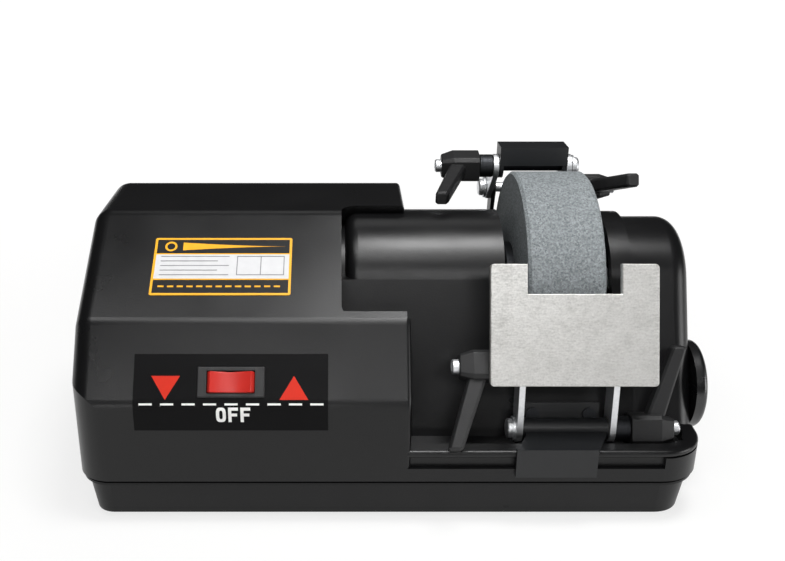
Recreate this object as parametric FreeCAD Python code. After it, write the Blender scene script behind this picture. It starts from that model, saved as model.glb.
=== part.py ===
import FreeCAD, Part

import math
import os

from FreeCAD import Placement, Rotation, Vector

# Bench wet grinding sharpener with a 125 mm stone, a reversing motor and two clamped tool guides.
# Millimetres, +Z up, front towards -Y, origin on the bench plane under the middle of the machine.

# Stone and its place in the case
STONE_DIAMETER = 125.0
STONE_WIDTH = 40.0
STONE_EDGE = 1.5
AXIS_HEIGHT = 97.0
AXIS_FROM_FRONT = 98.0
AXIS_FROM_RIGHT = 70.0

# Case outline
BODY_WIDTH = 322.0
BODY_DEPTH = 175.0
CASE_SET_BACK = 2.1
WALL = 3.0
FOOT_STANDS = 3.0
BASE_HEIGHT = 23.0
LEFT_CORNER = 10.0
LEFT_FOOT_CORNER = 17.0
RIGHT_CORNER = 22.0
LEAST_CORNER = 2.0

# Motor block: front wall, control panel, label slope, flat top and rear slope
PANEL_FOOT = 70.0
PANEL_RUN = 24.5
PANEL_RISE = 35.0
SLOPE_RUN = 61.0
SLOPE_RISE = 38.0
TOP_RUN = 58.0
CREASE_FOOT = 12.0
CREASE_PANEL = 10.5
CREASE_TOP = 11.0
CREASE_REAR = 12.0
BLOCK_RIGHT_FROM_AXIS = 81.0
POCKET_FROM_AXIS = 116.0
POCKET_CORNER = 8.0
POCKET_DEPTH = 22.0
POCKET_CREST = 1.5
POCKET_PAST_TOP = 8.0
BLOCK_EDGE = 2.5

# Wheel cover, ledge and rear shelf
COVER_RADIUS = 41.0
COVER_END_ROUND = 7.0
COVER_GAP = 2.0
SLOT_SIDE_ROOM = 3.5
SLOT_SILL = 62.0
SLOT_REAR = 66.5
SHELF_HEIGHT = 108.0
LEDGE_HEIGHT = 36.0
WALL_FOOT_FROM_AXIS = 70.0
APRON_TOP = 33.5
GROOVE_DEPTH = 2.5
GROOVE_TOP = 39.5
RAIL_TOP = 43.5
RAIL_WIDTH = 8.0
RAIL_ROUND = 1.9

# Removable side cover and its locking knob
SIDE_RADIUS = 37.0
SIDE_RIM_RADIUS = 40.0
SIDE_RIM_WIDTH = 11.0
SIDE_WALL = 2.5
SIDE_END_ROUND = 10.0
SIDE_PLAY = 0.5
SIDE_OVERHANG = 2.5
KNOB_DIAMETER = 48.0
KNOB_THICK = 6.5
KNOB_ROUND = 3.0
KNOB_DISH = 1.2
KNOB_FORWARD = 40.0
KNOB_HEIGHT = 52.0
KNOB_STUD_RADIUS = 4.0
KNOB_STUD_IN_KNOB = 4.0
KNOB_LUG_FROM_END = 14.0
KNOB_LUG_THICK = 8.0
KNOB_LUG_HALF = 9.0

# Base pan
BASE_INSET_TOP = 3.0
BASE_INSET_BOTTOM = 6.5
RIM_INSET = 1.2
RIM_THICK = 3.0
SEAM_LINE = 1.7
SEAM_LINE_DEPTH = 1.0
LIP_PLAY = 0.3
LIP_THICK = 2.0
LIP_HEIGHT = 4.0
FOOT_RADIUS = 9.0
FOOT_CHAMFER = 0.8
FOOT_STEM_RADIUS = 3.0
FOOT_BARB = 1.2
FOOT_BARB_HEIGHT = 2.0
FOOT_INSET_X = 24.0
FOOT_INSET_Y = 40.0

# Case screws and the posts they pull down
SCREW_HEAD_RADIUS = 3.5
SCREW_HEAD_HEIGHT = 2.6
SCREW_RADIUS = 1.6
SCREW_LENGTH = 14.0
POST_RADIUS = 5.0
POST_SEAT = 4.0
BOSS_WALL = 1.5
BLIND_FLOOR = 0.5
SCREW_SLOT = 1.0
POST_INSET_LEFT = 12.0
POST_INSET_RIGHT = 17.0
POST_INSET_FRONT = 24.0
POST_INSET_BACK = 17.0
POST_MIDDLE_FROM_AXIS = 67.0

# Fits, and how near an edge has to be to a plane to be picked
PIN_PLAY = 0.08
FACE_PLAY = 0.2
SEAT_PLAY = 0.05
DROP_PLAY = 0.3
PICK = 1e-6

# Wheel spindle
SHAFT_RADIUS = 6.0
SHAFT_LEFT_FROM_AXIS = 149.0
SHAFT_PAST_NUT = 1.0
SHAFT_CHAMFER = 0.8
FLANGE_RADIUS = 22.5
FLANGE_WIDTH = 5.0
FLANGE_RIM = 7.0
FLANGE_DISH = 1.0
FLANGE_ROUND = 1.5
NUT_WIDTH = 10.0
NUT_ACROSS_FLATS = 19.0
SEAL_RADIUS = 12.0
BUSH_RADIUS = 9.0
BUSH_WIDTH = 8.0
BUSH_INNER_FROM_AXIS = 129.0
BUSH_OUTER_FROM_AXIS = 49.0
BRACKET_FOOT = 5.0
BRACKET_HALF = 22.5
BRACKET_EYE = 15.0
BRACKET_SCREW_INSET = 5.0
BRACKET_WEB = 6.0

# Gear pair
GEAR_MODULE = 1.25
GEAR_TEETH = 56
PINION_TEETH = 14
GEAR_WIDTH = 10.0
GEAR_HUB_RADIUS = 11.0
GEAR_HUB_WIDTH = 5.0
BACKLASH = 0.2
PRESSURE_ANGLE = 20.0
GEAR_KEY = 3.0
ROOT_DEPTH = 1.25
FLANK_STEPS = 3

# Motor
MOTOR_BEHIND_AXIS = 34.0
MOTOR_RADIUS = 31.0
MOTOR_LENGTH = 68.0
MOTOR_SHELL = 2.5
MOTOR_ROUND = 2.0
MOTOR_FROM_GEAR = 16.0
MOTOR_SHAFT_RADIUS = 4.0
ROTOR_RADIUS = 18.0
ROTOR_GAP = 0.5
STATOR_WIDTH = 44.0
MOTOR_BEARING_RADIUS = 9.5
MOTOR_BEARING_WIDTH = 6.0
BEARING_CUP_WALL = 2.0
BEARING_BOSS_WALL = 2.5
BEARING_BOSS_FACE = 2.0
BELL_SHAFT_ROOM = 1.0
BELL_THICK = 4.0
CRADLE_THICK = 10.0
CRADLE_HALF = 30.0
CRADLE_FROM_END = 12.0
CRADLE_PLATE = 3.0
CRADLE_SCREW_INSET = 5.0
SADDLE_INSET = 10.0

# Capacitor that shifts the second motor winding
CAPACITOR_RADIUS = 14.0
CAPACITOR_LENGTH = 48.0
CAPACITOR_BACK = 48.0
CAPACITOR_ROUND = 2.0
TAG_LENGTH = 7.0
TAG_WIDTH = 6.0
TAG_THICK = 0.8
TAG_SPREAD = 6.0
CLIP_THICK = 1.5
CLIP_WIDTH = 12.0
CLIP_MOUTH = 14.0

# Water tray
TRAY_WALL = 2.0
TRAY_HEIGHT = 28.0
TRAY_FRONT_FROM_AXIS = 34.0
TRAY_BACK_FROM_AXIS = 50.0
TRAY_SIDE_ROOM = 3.5
TRAY_CORNER = 4.0

# Rocker switch and panel labels
SWITCH_FROM_AXIS = 170.8
SWITCH_UP_PANEL = 11.5
SWITCH_FRAME = (33.7, 15.4)
SWITCH_FRAME_STANDS = 1.6
SWITCH_FRAME_ROUND = 0.8
SWITCH_BODY = (28.0, 12.6)
SWITCH_BODY_DEPTH = 20.0
ROCKER_SIZE = (23.3, 10.6)
ROCKER_STANDS = 3.4
ROCKER_PIVOT_DEPTH = 2.0
ROCKER_DIP = 0.7
ROCKER_PLAY = 0.4
ROCKER_ROUND = 0.6
LABEL_THICK = 0.4
LABEL_LEFT_FROM_AXIS = 219.2
LABEL_RIGHT_FROM_AXIS = 122.7
LABEL_UP_PANEL = 25.7
LABEL_DOWN_FRONT = 13.8
PLATE_LEFT_FROM_AXIS = 214.9
PLATE_RIGHT_FROM_AXIS = 142.2
PLATE_LOW = 15.4
PLATE_HIGH = 52.7
PLATE_ROUND = 1.0

# Cord inlet and the lead inside the case
GLAND_FROM_LEFT = 45.0
GLAND_HEIGHT = 48.0
GLAND_RADIUS = 6.0
GLAND_FLANGE = 9.0
GLAND_BORE = 3.6
GLAND_RIM = 2.0
GLAND_RIM_ROUND = 0.8
GLAND_GRIP = 3.0
GLAND_GRIP_STANDS = 1.5
LEAD_RADIUS = 2.5
LEAD_BEND = 22.0
LEAD_DROP = 40.0

# Clamped arms, shared by the front rest and the rear guide
STRAP_THICK = 3.0
STRAP_END = 7.0
FRONT_INSIDE = 22.5
REAR_INSIDE = 20.0
REAR_SHIFT = -3.0
SHEET = 2.5
BOLT_RADIUS = 3.0
BOLT_HEAD_RADIUS = 5.2
BOLT_HEAD = 3.2
BOLT_HEAD_ROUND = 1.8
WASHER_RADIUS = 6.4
WASHER_THICK = 1.4
BOLT_REACH = 20.0
KNUCKLE_RADIUS = 5.5
MOUNT_SCREW_RADIUS = 2.0
MOUNT_SCREW_HEAD = 3.6
MOUNT_SCREW_HEAD_HEIGHT = 2.0
MOUNT_SCREW_ROOM = 1.0
SHELF_SCREW_INSET = 6.0
MOUNT_SCREW_SPREAD = 15.0

# Lever handles
LEVER_COLLAR_RADIUS = 6.75
LEVER_COLLAR = 8.0
LEVER_HUB_HALF = 7.6
LEVER_HUB_CUT = 2.0
LEVER_TURN_ROOM = 0.45
LEVER_HUB = 22.5
LEVER_NOSE_HALF = 5.6
LEVER_TAPER = 7.0
LEVER_SCREW_RADIUS = 3.8
LEVER_SCREW = 3.6
LEVER_ARM = 43.0
LEVER_ARM_ROOT = 10.0
LEVER_ARM_TIP = 7.5
LEVER_ARM_THICK = 8.0
LEVER_ARM_LEAN = 14.5
LEVER_ROUND = 1.2
LEVER_TIP_ROUND = 2.0
LEVER_SLEEVE_RADIUS = 4.25
LEVER_SCREW_ROUND = 0.8
LEVER_SOCKET_RADIUS = 1.6
LEVER_SOCKET_DEPTH = 2.0

# Front rest: pivots measured from the wheel axis, plate leaning back
FRONT_PIVOT = (-77.0, -52.0)
FRONT_TILT_PIVOT = (-74.5, -17.5)
PLATE_TOP = (-67.0, 36.0)
PLATE_LEAN = 21.5
PLATE_WIDTH = 84.0
PLATE_LENGTH = 61.0
PLATE_THICK = 4.0
NOTCH_SIDE_ROOM = 3.5
NOTCH_DEPTH = 15.0
PLATE_CORNER = 2.0
PLATE_CHAMFER = 0.4
FLAP_LOW = 30.0
FLAP_SHIFT = -7.5
BACK_PLATE_UP = 18.0
FRONT_HALF = 20.5
FRONT_LOW_LEVER = 70.0
FRONT_HIGH_LEVER = 229.0

# Rear guide: pivots measured from the wheel axis
REAR_PIVOT = (67.0, 36.0)
REAR_TILT_PIVOT = (44.0, 56.0)
GUIDE_FACE = (36.0, 69.0)
GUIDE_DROP = 11.0
GUIDE_FLANGE = 15.0
REAR_FLAP_DROP = 16.0
REAR_LOW_LEVER = 158.0
REAR_HIGH_LEVER = 190.0

# Places that follow from the sizes above
KNOB_STANDS_OUT = SIDE_OVERHANG + FACE_PLAY + KNOB_THICK
X_LEFT = -(BODY_WIDTH + KNOB_STANDS_OUT) / 2
X_RIGHT = X_LEFT + BODY_WIDTH
Y_FRONT = CASE_SET_BACK - BODY_DEPTH / 2
Y_BACK = CASE_SET_BACK + BODY_DEPTH / 2
AX = X_RIGHT - AXIS_FROM_RIGHT
AY = Y_FRONT + AXIS_FROM_FRONT
AZ = AXIS_HEIGHT
SEAM = FOOT_STANDS + BASE_HEIGHT
FLOOR = FOOT_STANDS + WALL
BELOW = SEAM - AXIS_HEIGHT
ABOVE = AZ + STONE_DIAMETER
BLOCK_RIGHT = AX - BLOCK_RIGHT_FROM_AXIS
POCKET_X = AX - POCKET_FROM_AXIS
CLAMPED_HALF = STONE_WIDTH / 2 + FLANGE_WIDTH
SLOT_HALF = CLAMPED_HALF + SLOT_SIDE_ROOM
SLOT_LEFT = AX - SLOT_HALF
SLOT_RIGHT = AX + SLOT_HALF
TRAY_HALF = SLOT_HALF - TRAY_SIDE_ROOM
NOTCH_WIDTH = STONE_WIDTH + 2 * NOTCH_SIDE_ROOM
SHAFT_RIGHT = AX + CLAMPED_HALF + NUT_WIDTH + SHAFT_PAST_NUT
WALL_FOOT = (AY - WALL_FOOT_FROM_AXIS, LEDGE_HEIGHT)
PANEL_TOP = (Y_FRONT + PANEL_RUN, PANEL_FOOT + PANEL_RISE)
SLOPE_TOP = (PANEL_TOP[0] + SLOPE_RUN, PANEL_TOP[1] + SLOPE_RISE)
TOP_BACK = (SLOPE_TOP[0] + TOP_RUN, SLOPE_TOP[1])
PANEL_ANGLE = math.degrees(math.atan2(PANEL_RISE, PANEL_RUN))
SLOPE_ANGLE = math.degrees(math.atan2(SLOPE_RISE, SLOPE_RUN))
REAR_BLOCK = AY + SIDE_RIM_RADIUS + SIDE_PLAY
CENTRE_DISTANCE = GEAR_MODULE * (GEAR_TEETH + PINION_TEETH) / 2
MOTOR_Y = AY + MOTOR_BEHIND_AXIS
MOTOR_Z = AZ - math.sqrt(CENTRE_DISTANCE ** 2 - MOTOR_BEHIND_AXIS ** 2)
GEAR_X = AX - BUSH_INNER_FROM_AXIS - BUSH_WIDTH / 2 - GEAR_HUB_WIDTH - GEAR_WIDTH - FACE_PLAY
MOTOR_RIGHT = GEAR_X - MOTOR_FROM_GEAR
MOTOR_LEFT = MOTOR_RIGHT - MOTOR_LENGTH
REAR_X = AX + REAR_SHIFT
SIDE_END = X_RIGHT + SIDE_OVERHANG
X_DIRECTION = Vector(1, 0, 0)
Y_DIRECTION = Vector(0, 1, 0)
Z_DIRECTION = Vector(0, 0, 1)


def box(x0, x1, y0, y1, z0, z1):
    return Part.makeBox(x1 - x0, y1 - y0, z1 - z0, Vector(x0, y0, z0))


def rod_x(radius, x0, x1, y=AY, z=AZ):
    return Part.makeCylinder(radius, x1 - x0, Vector(x0, y, z), X_DIRECTION)


def rod_z(radius, z0, z1, x, y):
    return Part.makeCylinder(radius, z1 - z0, Vector(x, y, z0), Z_DIRECTION)


def joined(*shapes):
    """One solid from overlapping shapes, with split faces merged."""
    return shapes[0].fuse(list(shapes[1:])).removeSplitter()


def group(*shapes):
    """Separate solids that share one node."""
    return Part.makeCompound(list(shapes))


def signed_area(points):
    following = points[1:] + points[:1]
    return sum(a[0] * b[1] - b[0] * a[1] for a, b in zip(points, following)) / 2


def unit(a, b):
    length = math.hypot(b[0] - a[0], b[1] - a[1])
    return (b[0] - a[0]) / length, (b[1] - a[1]) / length


def turn(before, corner, after):
    """Sine of the angle that the outline turns through at a corner; its sign says which way."""
    a, b = unit(before, corner), unit(corner, after)
    return a[0] * b[1] - a[1] * b[0]


def inset_outline(points, radii, inset):
    """Moves every edge inwards; outer corners lose the inset from their radius, inner corners gain it."""
    side = 1.0 if signed_area(points) > 0 else -1.0
    moved, rounds = [], []
    for i, corner in enumerate(points):
        before, after = points[i - 1], points[(i + 1) % len(points)]
        a = unit(before, corner)
        bend = turn(before, corner, after)
        reach = inset * side * math.tan(math.asin(bend) / 2) if abs(bend) < 1 else inset * side * bend
        across = side * inset
        moved.append((corner[0] - across * a[1] - a[0] * reach, corner[1] + across * a[0] - a[1] * reach))
        outer = bend * side > 0
        rounds.append(max(radii[i] - inset, 0.0) if outer else (radii[i] + inset if radii[i] else 0.0))
    return moved, rounds


def outline_wire(points, radii, place):
    """Closed wire of straight runs with tangent arcs; place turns an outline point into a 3-D point."""
    starts, ends, middles = [], [], []
    for i, corner in enumerate(points):
        u = unit(corner, points[i - 1])
        v = unit(corner, points[(i + 1) % len(points)])
        half = math.acos(max(-1.0, min(1.0, u[0] * v[0] + u[1] * v[1]))) / 2
        run = radii[i] / math.tan(half)
        starts.append((corner[0] + u[0] * run, corner[1] + u[1] * run))
        ends.append((corner[0] + v[0] * run, corner[1] + v[1] * run))
        bisector = unit((0.0, 0.0), (u[0] + v[0], u[1] + v[1]))
        sag = radii[i] / math.sin(half) - radii[i]
        middles.append((corner[0] + bisector[0] * sag, corner[1] + bisector[1] * sag))
    edges = []
    for i in range(len(points)):
        if radii[i] > 0:
            edges.append(Part.Arc(place(*starts[i]), place(*middles[i]), place(*ends[i])).toShape())
        following = starts[(i + 1) % len(points)]
        edges.append(Part.LineSegment(place(*ends[i]), place(*following)).toShape())
    return Part.Wire(edges)


def prism_x(points, radii, x0, x1):
    """Solid with a (y, z) outline carried along X."""
    wire = outline_wire(points, radii, lambda y, z: Vector(x0, y, z))
    return Part.Face(wire).extrude(Vector(x1 - x0, 0, 0))


def end_rounded(solid, x, radius):
    """Rounds every edge that lies in the plane at x."""
    edges = [e for e in solid.Edges if all(abs(v.X - x) < PICK for v in e.Vertexes)]
    edges = [e for e in edges if abs(e.CenterOfMass.x - x) < PICK]
    return solid.makeFillet(radius, edges)


def corners_rounded(block, radius):
    """Rounds the upright edges of a block."""
    edges = [e for e in block.Edges if abs(e.BoundBox.ZLength - block.BoundBox.ZLength) < PICK]
    return block.makeFillet(radius, edges)


def plan_wire(inset, z):
    """Rounded rectangle of the case seen from above, drawn at height z."""
    points = [(X_LEFT + inset, Y_FRONT + inset), (X_RIGHT - inset, Y_FRONT + inset)]
    points += [(X_RIGHT - inset, Y_BACK - inset), (X_LEFT + inset, Y_BACK - inset)]
    left, right = LEFT_FOOT_CORNER - inset, RIGHT_CORNER - inset
    left, right = max(left, LEAST_CORNER), max(right, LEAST_CORNER)
    radii = [left, right, right, left]
    return outline_wire(points, radii, lambda x, y: Vector(x, y, z))


def plan_prism(inset, z0, z1):
    return Part.Face(plan_wire(inset, z0)).extrude(Vector(0, 0, z1 - z0))


def on_panel(shape, x, along):
    """Places a shape drawn in its own frame on the control panel: x across, y up the panel, z outwards."""
    angle = math.radians(PANEL_ANGLE)
    origin = Vector(x, Y_FRONT + along * math.cos(angle), PANEL_FOOT + along * math.sin(angle))
    return shape.transformed(Placement(origin, Rotation(X_DIRECTION, PANEL_ANGLE)).toMatrix())


def on_slope(shape, x, along):
    """The same for the label slope above the panel."""
    angle = math.radians(SLOPE_ANGLE)
    origin = Vector(x, PANEL_TOP[0] + along * math.cos(angle), PANEL_TOP[1] + along * math.sin(angle))
    return shape.transformed(Placement(origin, Rotation(X_DIRECTION, SLOPE_ANGLE)).toMatrix())


def wall_touch(radius):
    """Point where the sloping front wall, rising from its foot on the ledge, meets a cover of this radius."""
    away = math.hypot(WALL_FOOT[0] - AY, WALL_FOOT[1] - AZ)
    heading = math.atan2(AZ - WALL_FOOT[1], AY - WALL_FOOT[0]) + math.asin(radius / away)
    length = math.sqrt(away ** 2 - radius ** 2)
    return WALL_FOOT[0] + length * math.cos(heading), WALL_FOOT[1] + length * math.sin(heading)


def motor_outline(inset=0.0):
    """Wedge section of the motor block."""
    points = [(Y_FRONT, BELOW), (Y_FRONT, PANEL_FOOT), PANEL_TOP, SLOPE_TOP, TOP_BACK]
    points += [(Y_BACK, SHELF_HEIGHT), (Y_BACK, BELOW)]
    radii = [0.0, CREASE_FOOT, CREASE_PANEL, CREASE_TOP, CREASE_REAR, CREASE_REAR, 0.0]
    return inset_outline(points, radii, inset)


def cover_outline(radius, inset=0.0):
    """Sloping front wall, and the rear body up to the shelf; the round cover is a rod added to it."""
    touch = wall_touch(radius)
    points = [(WALL_FOOT[0], BELOW), WALL_FOOT, touch, (AY, touch[1]), (AY, SHELF_HEIGHT)]
    points += [(Y_BACK, SHELF_HEIGHT), (Y_BACK, BELOW)]
    return inset_outline(points, [0.0, 0.0, 0.0, 0.0, 0.0, 2 * WALL, 0.0], inset)


def pocket(grow=0.0):
    """Opening in the label slope beside the cover: a rounded rectangle pushed square into the slope."""
    low, high = POCKET_CREST - grow, math.hypot(SLOPE_RUN, SLOPE_RISE) + POCKET_PAST_TOP + grow
    left, right = POCKET_X - grow, BLOCK_RIGHT + WALL
    points = [(left, low), (right, low), (right, high), (left, high)]
    corner = POCKET_CORNER + grow
    depth = POCKET_DEPTH + grow
    wire = outline_wire(points, [corner, 0.0, 0.0, corner], lambda x, y: Vector(x, y, -depth))
    return on_slope(Part.Face(wire).extrude(Vector(0, 0, 2 * depth)), 0.0, 0.0)


def motor_block(inset=0.0):
    """Wedge block with rounded ends, less the pocket that makes room for the round cover."""
    points, radii = motor_outline(inset)
    solid = prism_x(points, radii, X_LEFT + inset, BLOCK_RIGHT - inset)
    solid = end_rounded(solid, X_LEFT + inset, LEFT_CORNER - inset)
    if not inset:
        solid = end_rounded(solid, BLOCK_RIGHT, BLOCK_EDGE)
    return solid.cut(pocket(inset)).common(plan_prism(inset, BELOW, ABOVE))


def case_posts():
    """Places of the posts that the case screws pull on."""
    front, back = Y_FRONT + POST_INSET_FRONT, Y_BACK - POST_INSET_BACK
    columns = [X_LEFT + POST_INSET_LEFT, AX - POST_MIDDLE_FROM_AXIS, X_RIGHT - POST_INSET_RIGHT]
    return [(x, y) for x in columns for y in (front, back)]


def round_cover(inset=0.0):
    """Horizontal round cover left of the stone, with a rounded left end standing in the pocket."""
    start = POCKET_X + COVER_GAP + inset
    solid = rod_x(COVER_RADIUS - inset, start, SLOT_LEFT - inset)
    solid = end_rounded(solid, start, COVER_END_ROUND)
    core = rod_x(COVER_RADIUS - inset - COVER_END_ROUND, POCKET_X - LEFT_CORNER, start + COVER_END_ROUND)
    return joined(solid, core)


def lever_scoop():
    """Round hollow in the ledge that lets the corners of the lower front lever's hub go by."""
    corner = math.hypot(LEVER_HUB_HALF, LEVER_HUB_HALF - LEVER_HUB_CUT)
    start = AX + FRONT_INSIDE + STRAP_THICK
    end = start + LEVER_COLLAR + LEVER_HUB + LEVER_SCREW
    return rod_x(corner + LEVER_TURN_ROOM, start, end, *from_axis(FRONT_PIVOT))


def upper_housing():
    """Main moulding: motor block, cover left of the stone, ledge with its rail, and rear shelf."""
    outline = cover_outline(COVER_RADIUS)
    front_strip = box(BLOCK_RIGHT - LEFT_CORNER, X_RIGHT, Y_FRONT, WALL_FOOT[0] + WALL, BELOW, ABOVE)
    rail = plan_prism(0.0, GROOVE_TOP, RAIL_TOP)
    rail = rail.makeFillet(RAIL_ROUND, [e for e in rail.Edges if e.BoundBox.ZLength < PICK])
    rail = rail.cut(plan_prism(RAIL_WIDTH, LEDGE_HEIGHT, RAIL_TOP + WALL))
    apron = plan_prism(0.0, SEAM, APRON_TOP).fuse(plan_prism(GROOVE_DEPTH, APRON_TOP, LEDGE_HEIGHT))
    groove_end = box(X_RIGHT - RIGHT_CORNER, X_RIGHT, Y_FRONT, Y_BACK, SEAM, GROOVE_TOP)
    stop = plan_prism(0.0, APRON_TOP, GROOVE_TOP).common(groove_end).cut(plan_prism(RAIL_WIDTH, LEDGE_HEIGHT, RAIL_TOP))
    lip = plan_prism(GROOVE_DEPTH, LEDGE_HEIGHT, GROOVE_TOP).cut(plan_prism(RAIL_WIDTH, SEAM, RAIL_TOP))
    behind_rail = box(BLOCK_RIGHT, X_RIGHT, WALL_FOOT[0] - SIDE_PLAY, Y_BACK, LEDGE_HEIGHT, ABOVE)
    ledge = apron.fuse([lip, rail, stop]).common(front_strip).cut(behind_rail)
    wall = prism_x(*outline, POCKET_X - LEFT_CORNER, SLOT_RIGHT)
    rear_points = [(REAR_BLOCK, BELOW), (REAR_BLOCK, SHELF_HEIGHT), (Y_BACK, SHELF_HEIGHT), (Y_BACK, BELOW)]
    rear_radii = [0.0, 0.0, 2 * WALL, 0.0]
    rear = prism_x(rear_points, rear_radii, SLOT_RIGHT - WALL, X_RIGHT)
    sill = box(SLOT_RIGHT - WALL, X_RIGHT, WALL_FOOT[0], REAR_BLOCK + WALL, SEAM, LEDGE_HEIGHT)
    right_end = joined(wall, rear, sill).common(plan_prism(0.0, BELOW, ABOVE))
    outer = joined(motor_block(), right_end, ledge, round_cover())

    points, radii = cover_outline(COVER_RADIUS, WALL)
    dry = prism_x(points, radii, POCKET_X - 3 * LEFT_CORNER, SLOT_LEFT - WALL)
    wet = prism_x(points, radii, SLOT_LEFT, SLOT_RIGHT)
    rear_in = prism_x(*inset_outline(rear_points, rear_radii, WALL), SLOT_RIGHT - 2 * WALL, X_RIGHT - WALL)
    side_in = box(SLOT_RIGHT - WALL, X_RIGHT - WALL, WALL_FOOT[0] + WALL, REAR_BLOCK, BELOW, ABOVE)
    under_ledge = box(BLOCK_RIGHT - LEFT_CORNER, X_RIGHT - WALL, Y_FRONT + WALL + GROOVE_DEPTH,
                      WALL_FOOT[0] + 2 * WALL, BELOW, LEDGE_HEIGHT - WALL)
    under_ledge = under_ledge.cut(box(SLOT_LEFT - WALL, SLOT_LEFT, Y_FRONT, Y_BACK, BELOW, ABOVE))
    under_rear = box(SLOT_RIGHT, X_RIGHT - WALL, AY, REAR_BLOCK + 2 * WALL, BELOW, LEDGE_HEIGHT - WALL)
    inside = dry.fuse([wet, rear_in, side_in, under_ledge, under_rear])
    inside = inside.common(plan_prism(WALL + GROOVE_DEPTH, BELOW, ABOVE))
    slot = box(SLOT_LEFT, SLOT_RIGHT, Y_FRONT, AY + SLOT_REAR, SLOT_SILL, ABOVE)
    hollow = motor_block(WALL).fuse(round_cover(WALL))
    below = box(2 * X_LEFT, 2 * X_RIGHT, 2 * Y_FRONT, 2 * Y_BACK, BELOW - WALL, SEAM)
    shell = outer.cut(hollow).cut(inside).cut([slot, below])

    posts = [rod_z(POST_RADIUS, FLOOR + POST_SEAT, ABOVE, x, y) for x, y in case_posts()]
    posts = [p.common(joined(outer, plan_prism(WALL, BELOW, LEDGE_HEIGHT - WALL / 2))) for p in posts]
    shell = joined(shell, knob_lug(), *posts)
    pilot_end = FLOOR + POST_SEAT + SCREW_LENGTH
    pilots = [rod_z(SCREW_RADIUS + SEAT_PLAY, FLOOR, pilot_end, x, y) for x, y in case_posts()]
    seal_hole = rod_x(SEAL_RADIUS + SEAT_PLAY, SLOT_LEFT - WALL, SLOT_LEFT)
    openings = [seal_hole, switch_cutout(), gland_hole(), mount_screw_holes(), knob_hole(), lever_scoop()]
    return shell.cut(pilots + openings)


def side_shape(radius, x0, x1):
    """Arch of the side cover: sloping front wall, round top and straight back, standing on the ledge."""
    touch = wall_touch(radius)
    points = [WALL_FOOT, touch, (AY, touch[1]), (AY + radius, AZ), (AY + radius, LEDGE_HEIGHT)]
    return joined(prism_x(points, [0.0] * len(points), x0, x1), rod_x(radius, x0, x1))


def side_block(radius, x1, rounding):
    """Arch from the slot to x1 with its end rounded over the front, top and back."""
    body = side_shape(radius, SLOT_RIGHT, x1)
    edges = [e for e in body.Edges if all(abs(v.X - x1) < PICK for v in e.Vertexes)]
    return body.makeFillet(rounding, [e for e in edges if e.CenterOfMass.z > LEDGE_HEIGHT + PICK])


def side_cover():
    """Removable cover right of the stone, with a wider rim next to the slot."""
    body = side_block(SIDE_RADIUS, SIDE_END, SIDE_END_ROUND)
    rim = side_shape(SIDE_RIM_RADIUS, SLOT_RIGHT, SLOT_RIGHT + SIDE_RIM_WIDTH)
    outer = joined(body, rim).cut(box(SLOT_RIGHT, SIDE_END, Y_FRONT, Y_BACK, BELOW, LEDGE_HEIGHT))
    inner = side_block(SIDE_RADIUS - SIDE_WALL, SIDE_END - SIDE_WALL, SIDE_END_ROUND - SIDE_WALL)
    inner.translate(Vector(0, SIDE_WALL, 0))
    core = rod_x(SIDE_RADIUS - SIDE_WALL, SLOT_RIGHT, SIDE_END - SIDE_END_ROUND)
    back_room = box(SLOT_RIGHT, SIDE_END, AY + SIDE_RADIUS - SIDE_WALL, Y_BACK, BELOW, ABOVE)
    return outer.cut([inner.cut(back_room), core, knob_hole()])


def knob_place():
    return AY - KNOB_FORWARD, KNOB_HEIGHT


def knob_hole():
    y, z = knob_place()
    return rod_x(KNOB_STUD_RADIUS + PIN_PLAY, X_RIGHT - KNOB_LUG_FROM_END - KNOB_LUG_THICK, SIDE_END, y, z)


def knob_lug():
    """Threaded lug inside the housing for the knob's stud, standing on the ledge rim."""
    y, z = knob_place()
    x1 = X_RIGHT - KNOB_LUG_FROM_END
    root, low = WALL_FOOT[0] + WALL / 2, LEDGE_HEIGHT - 2 * WALL
    points = [(root, low), (y + KNOB_LUG_HALF, low), (y + KNOB_LUG_HALF, z + KNOB_LUG_HALF)]
    points += [(y - KNOB_LUG_HALF, z + KNOB_LUG_HALF), (y - KNOB_LUG_HALF, LEDGE_HEIGHT)]
    points += [(root, LEDGE_HEIGHT)]
    return prism_x(points, [0.0] * len(points), x1 - KNOB_LUG_THICK, x1)


def side_knob():
    """Round smooth knob with a shallow dished face; its stud locks the side cover."""
    y, z = knob_place()
    start = SIDE_END + FACE_PLAY
    end = start + KNOB_THICK
    radius = KNOB_DIAMETER / 2
    knob = end_rounded(rod_x(radius, start, end, y, z), end, KNOB_ROUND)
    dish_radius = (radius ** 2 + KNOB_DISH ** 2) / (2 * KNOB_DISH)
    dish = Part.makeSphere(dish_radius, Vector(end + dish_radius - KNOB_DISH / 2, y, z))
    return knob.cut([dish, rod_x(KNOB_STUD_RADIUS + SEAT_PLAY, start, start + KNOB_STUD_IN_KNOB, y, z)])


def knob_stud():
    """Threaded stud from the knob through the cover's end into the lug."""
    y, z = knob_place()
    end = SIDE_END + FACE_PLAY + KNOB_STUD_IN_KNOB
    return rod_x(KNOB_STUD_RADIUS, X_RIGHT - KNOB_LUG_FROM_END - KNOB_LUG_THICK / 2, end, y, z)


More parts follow.
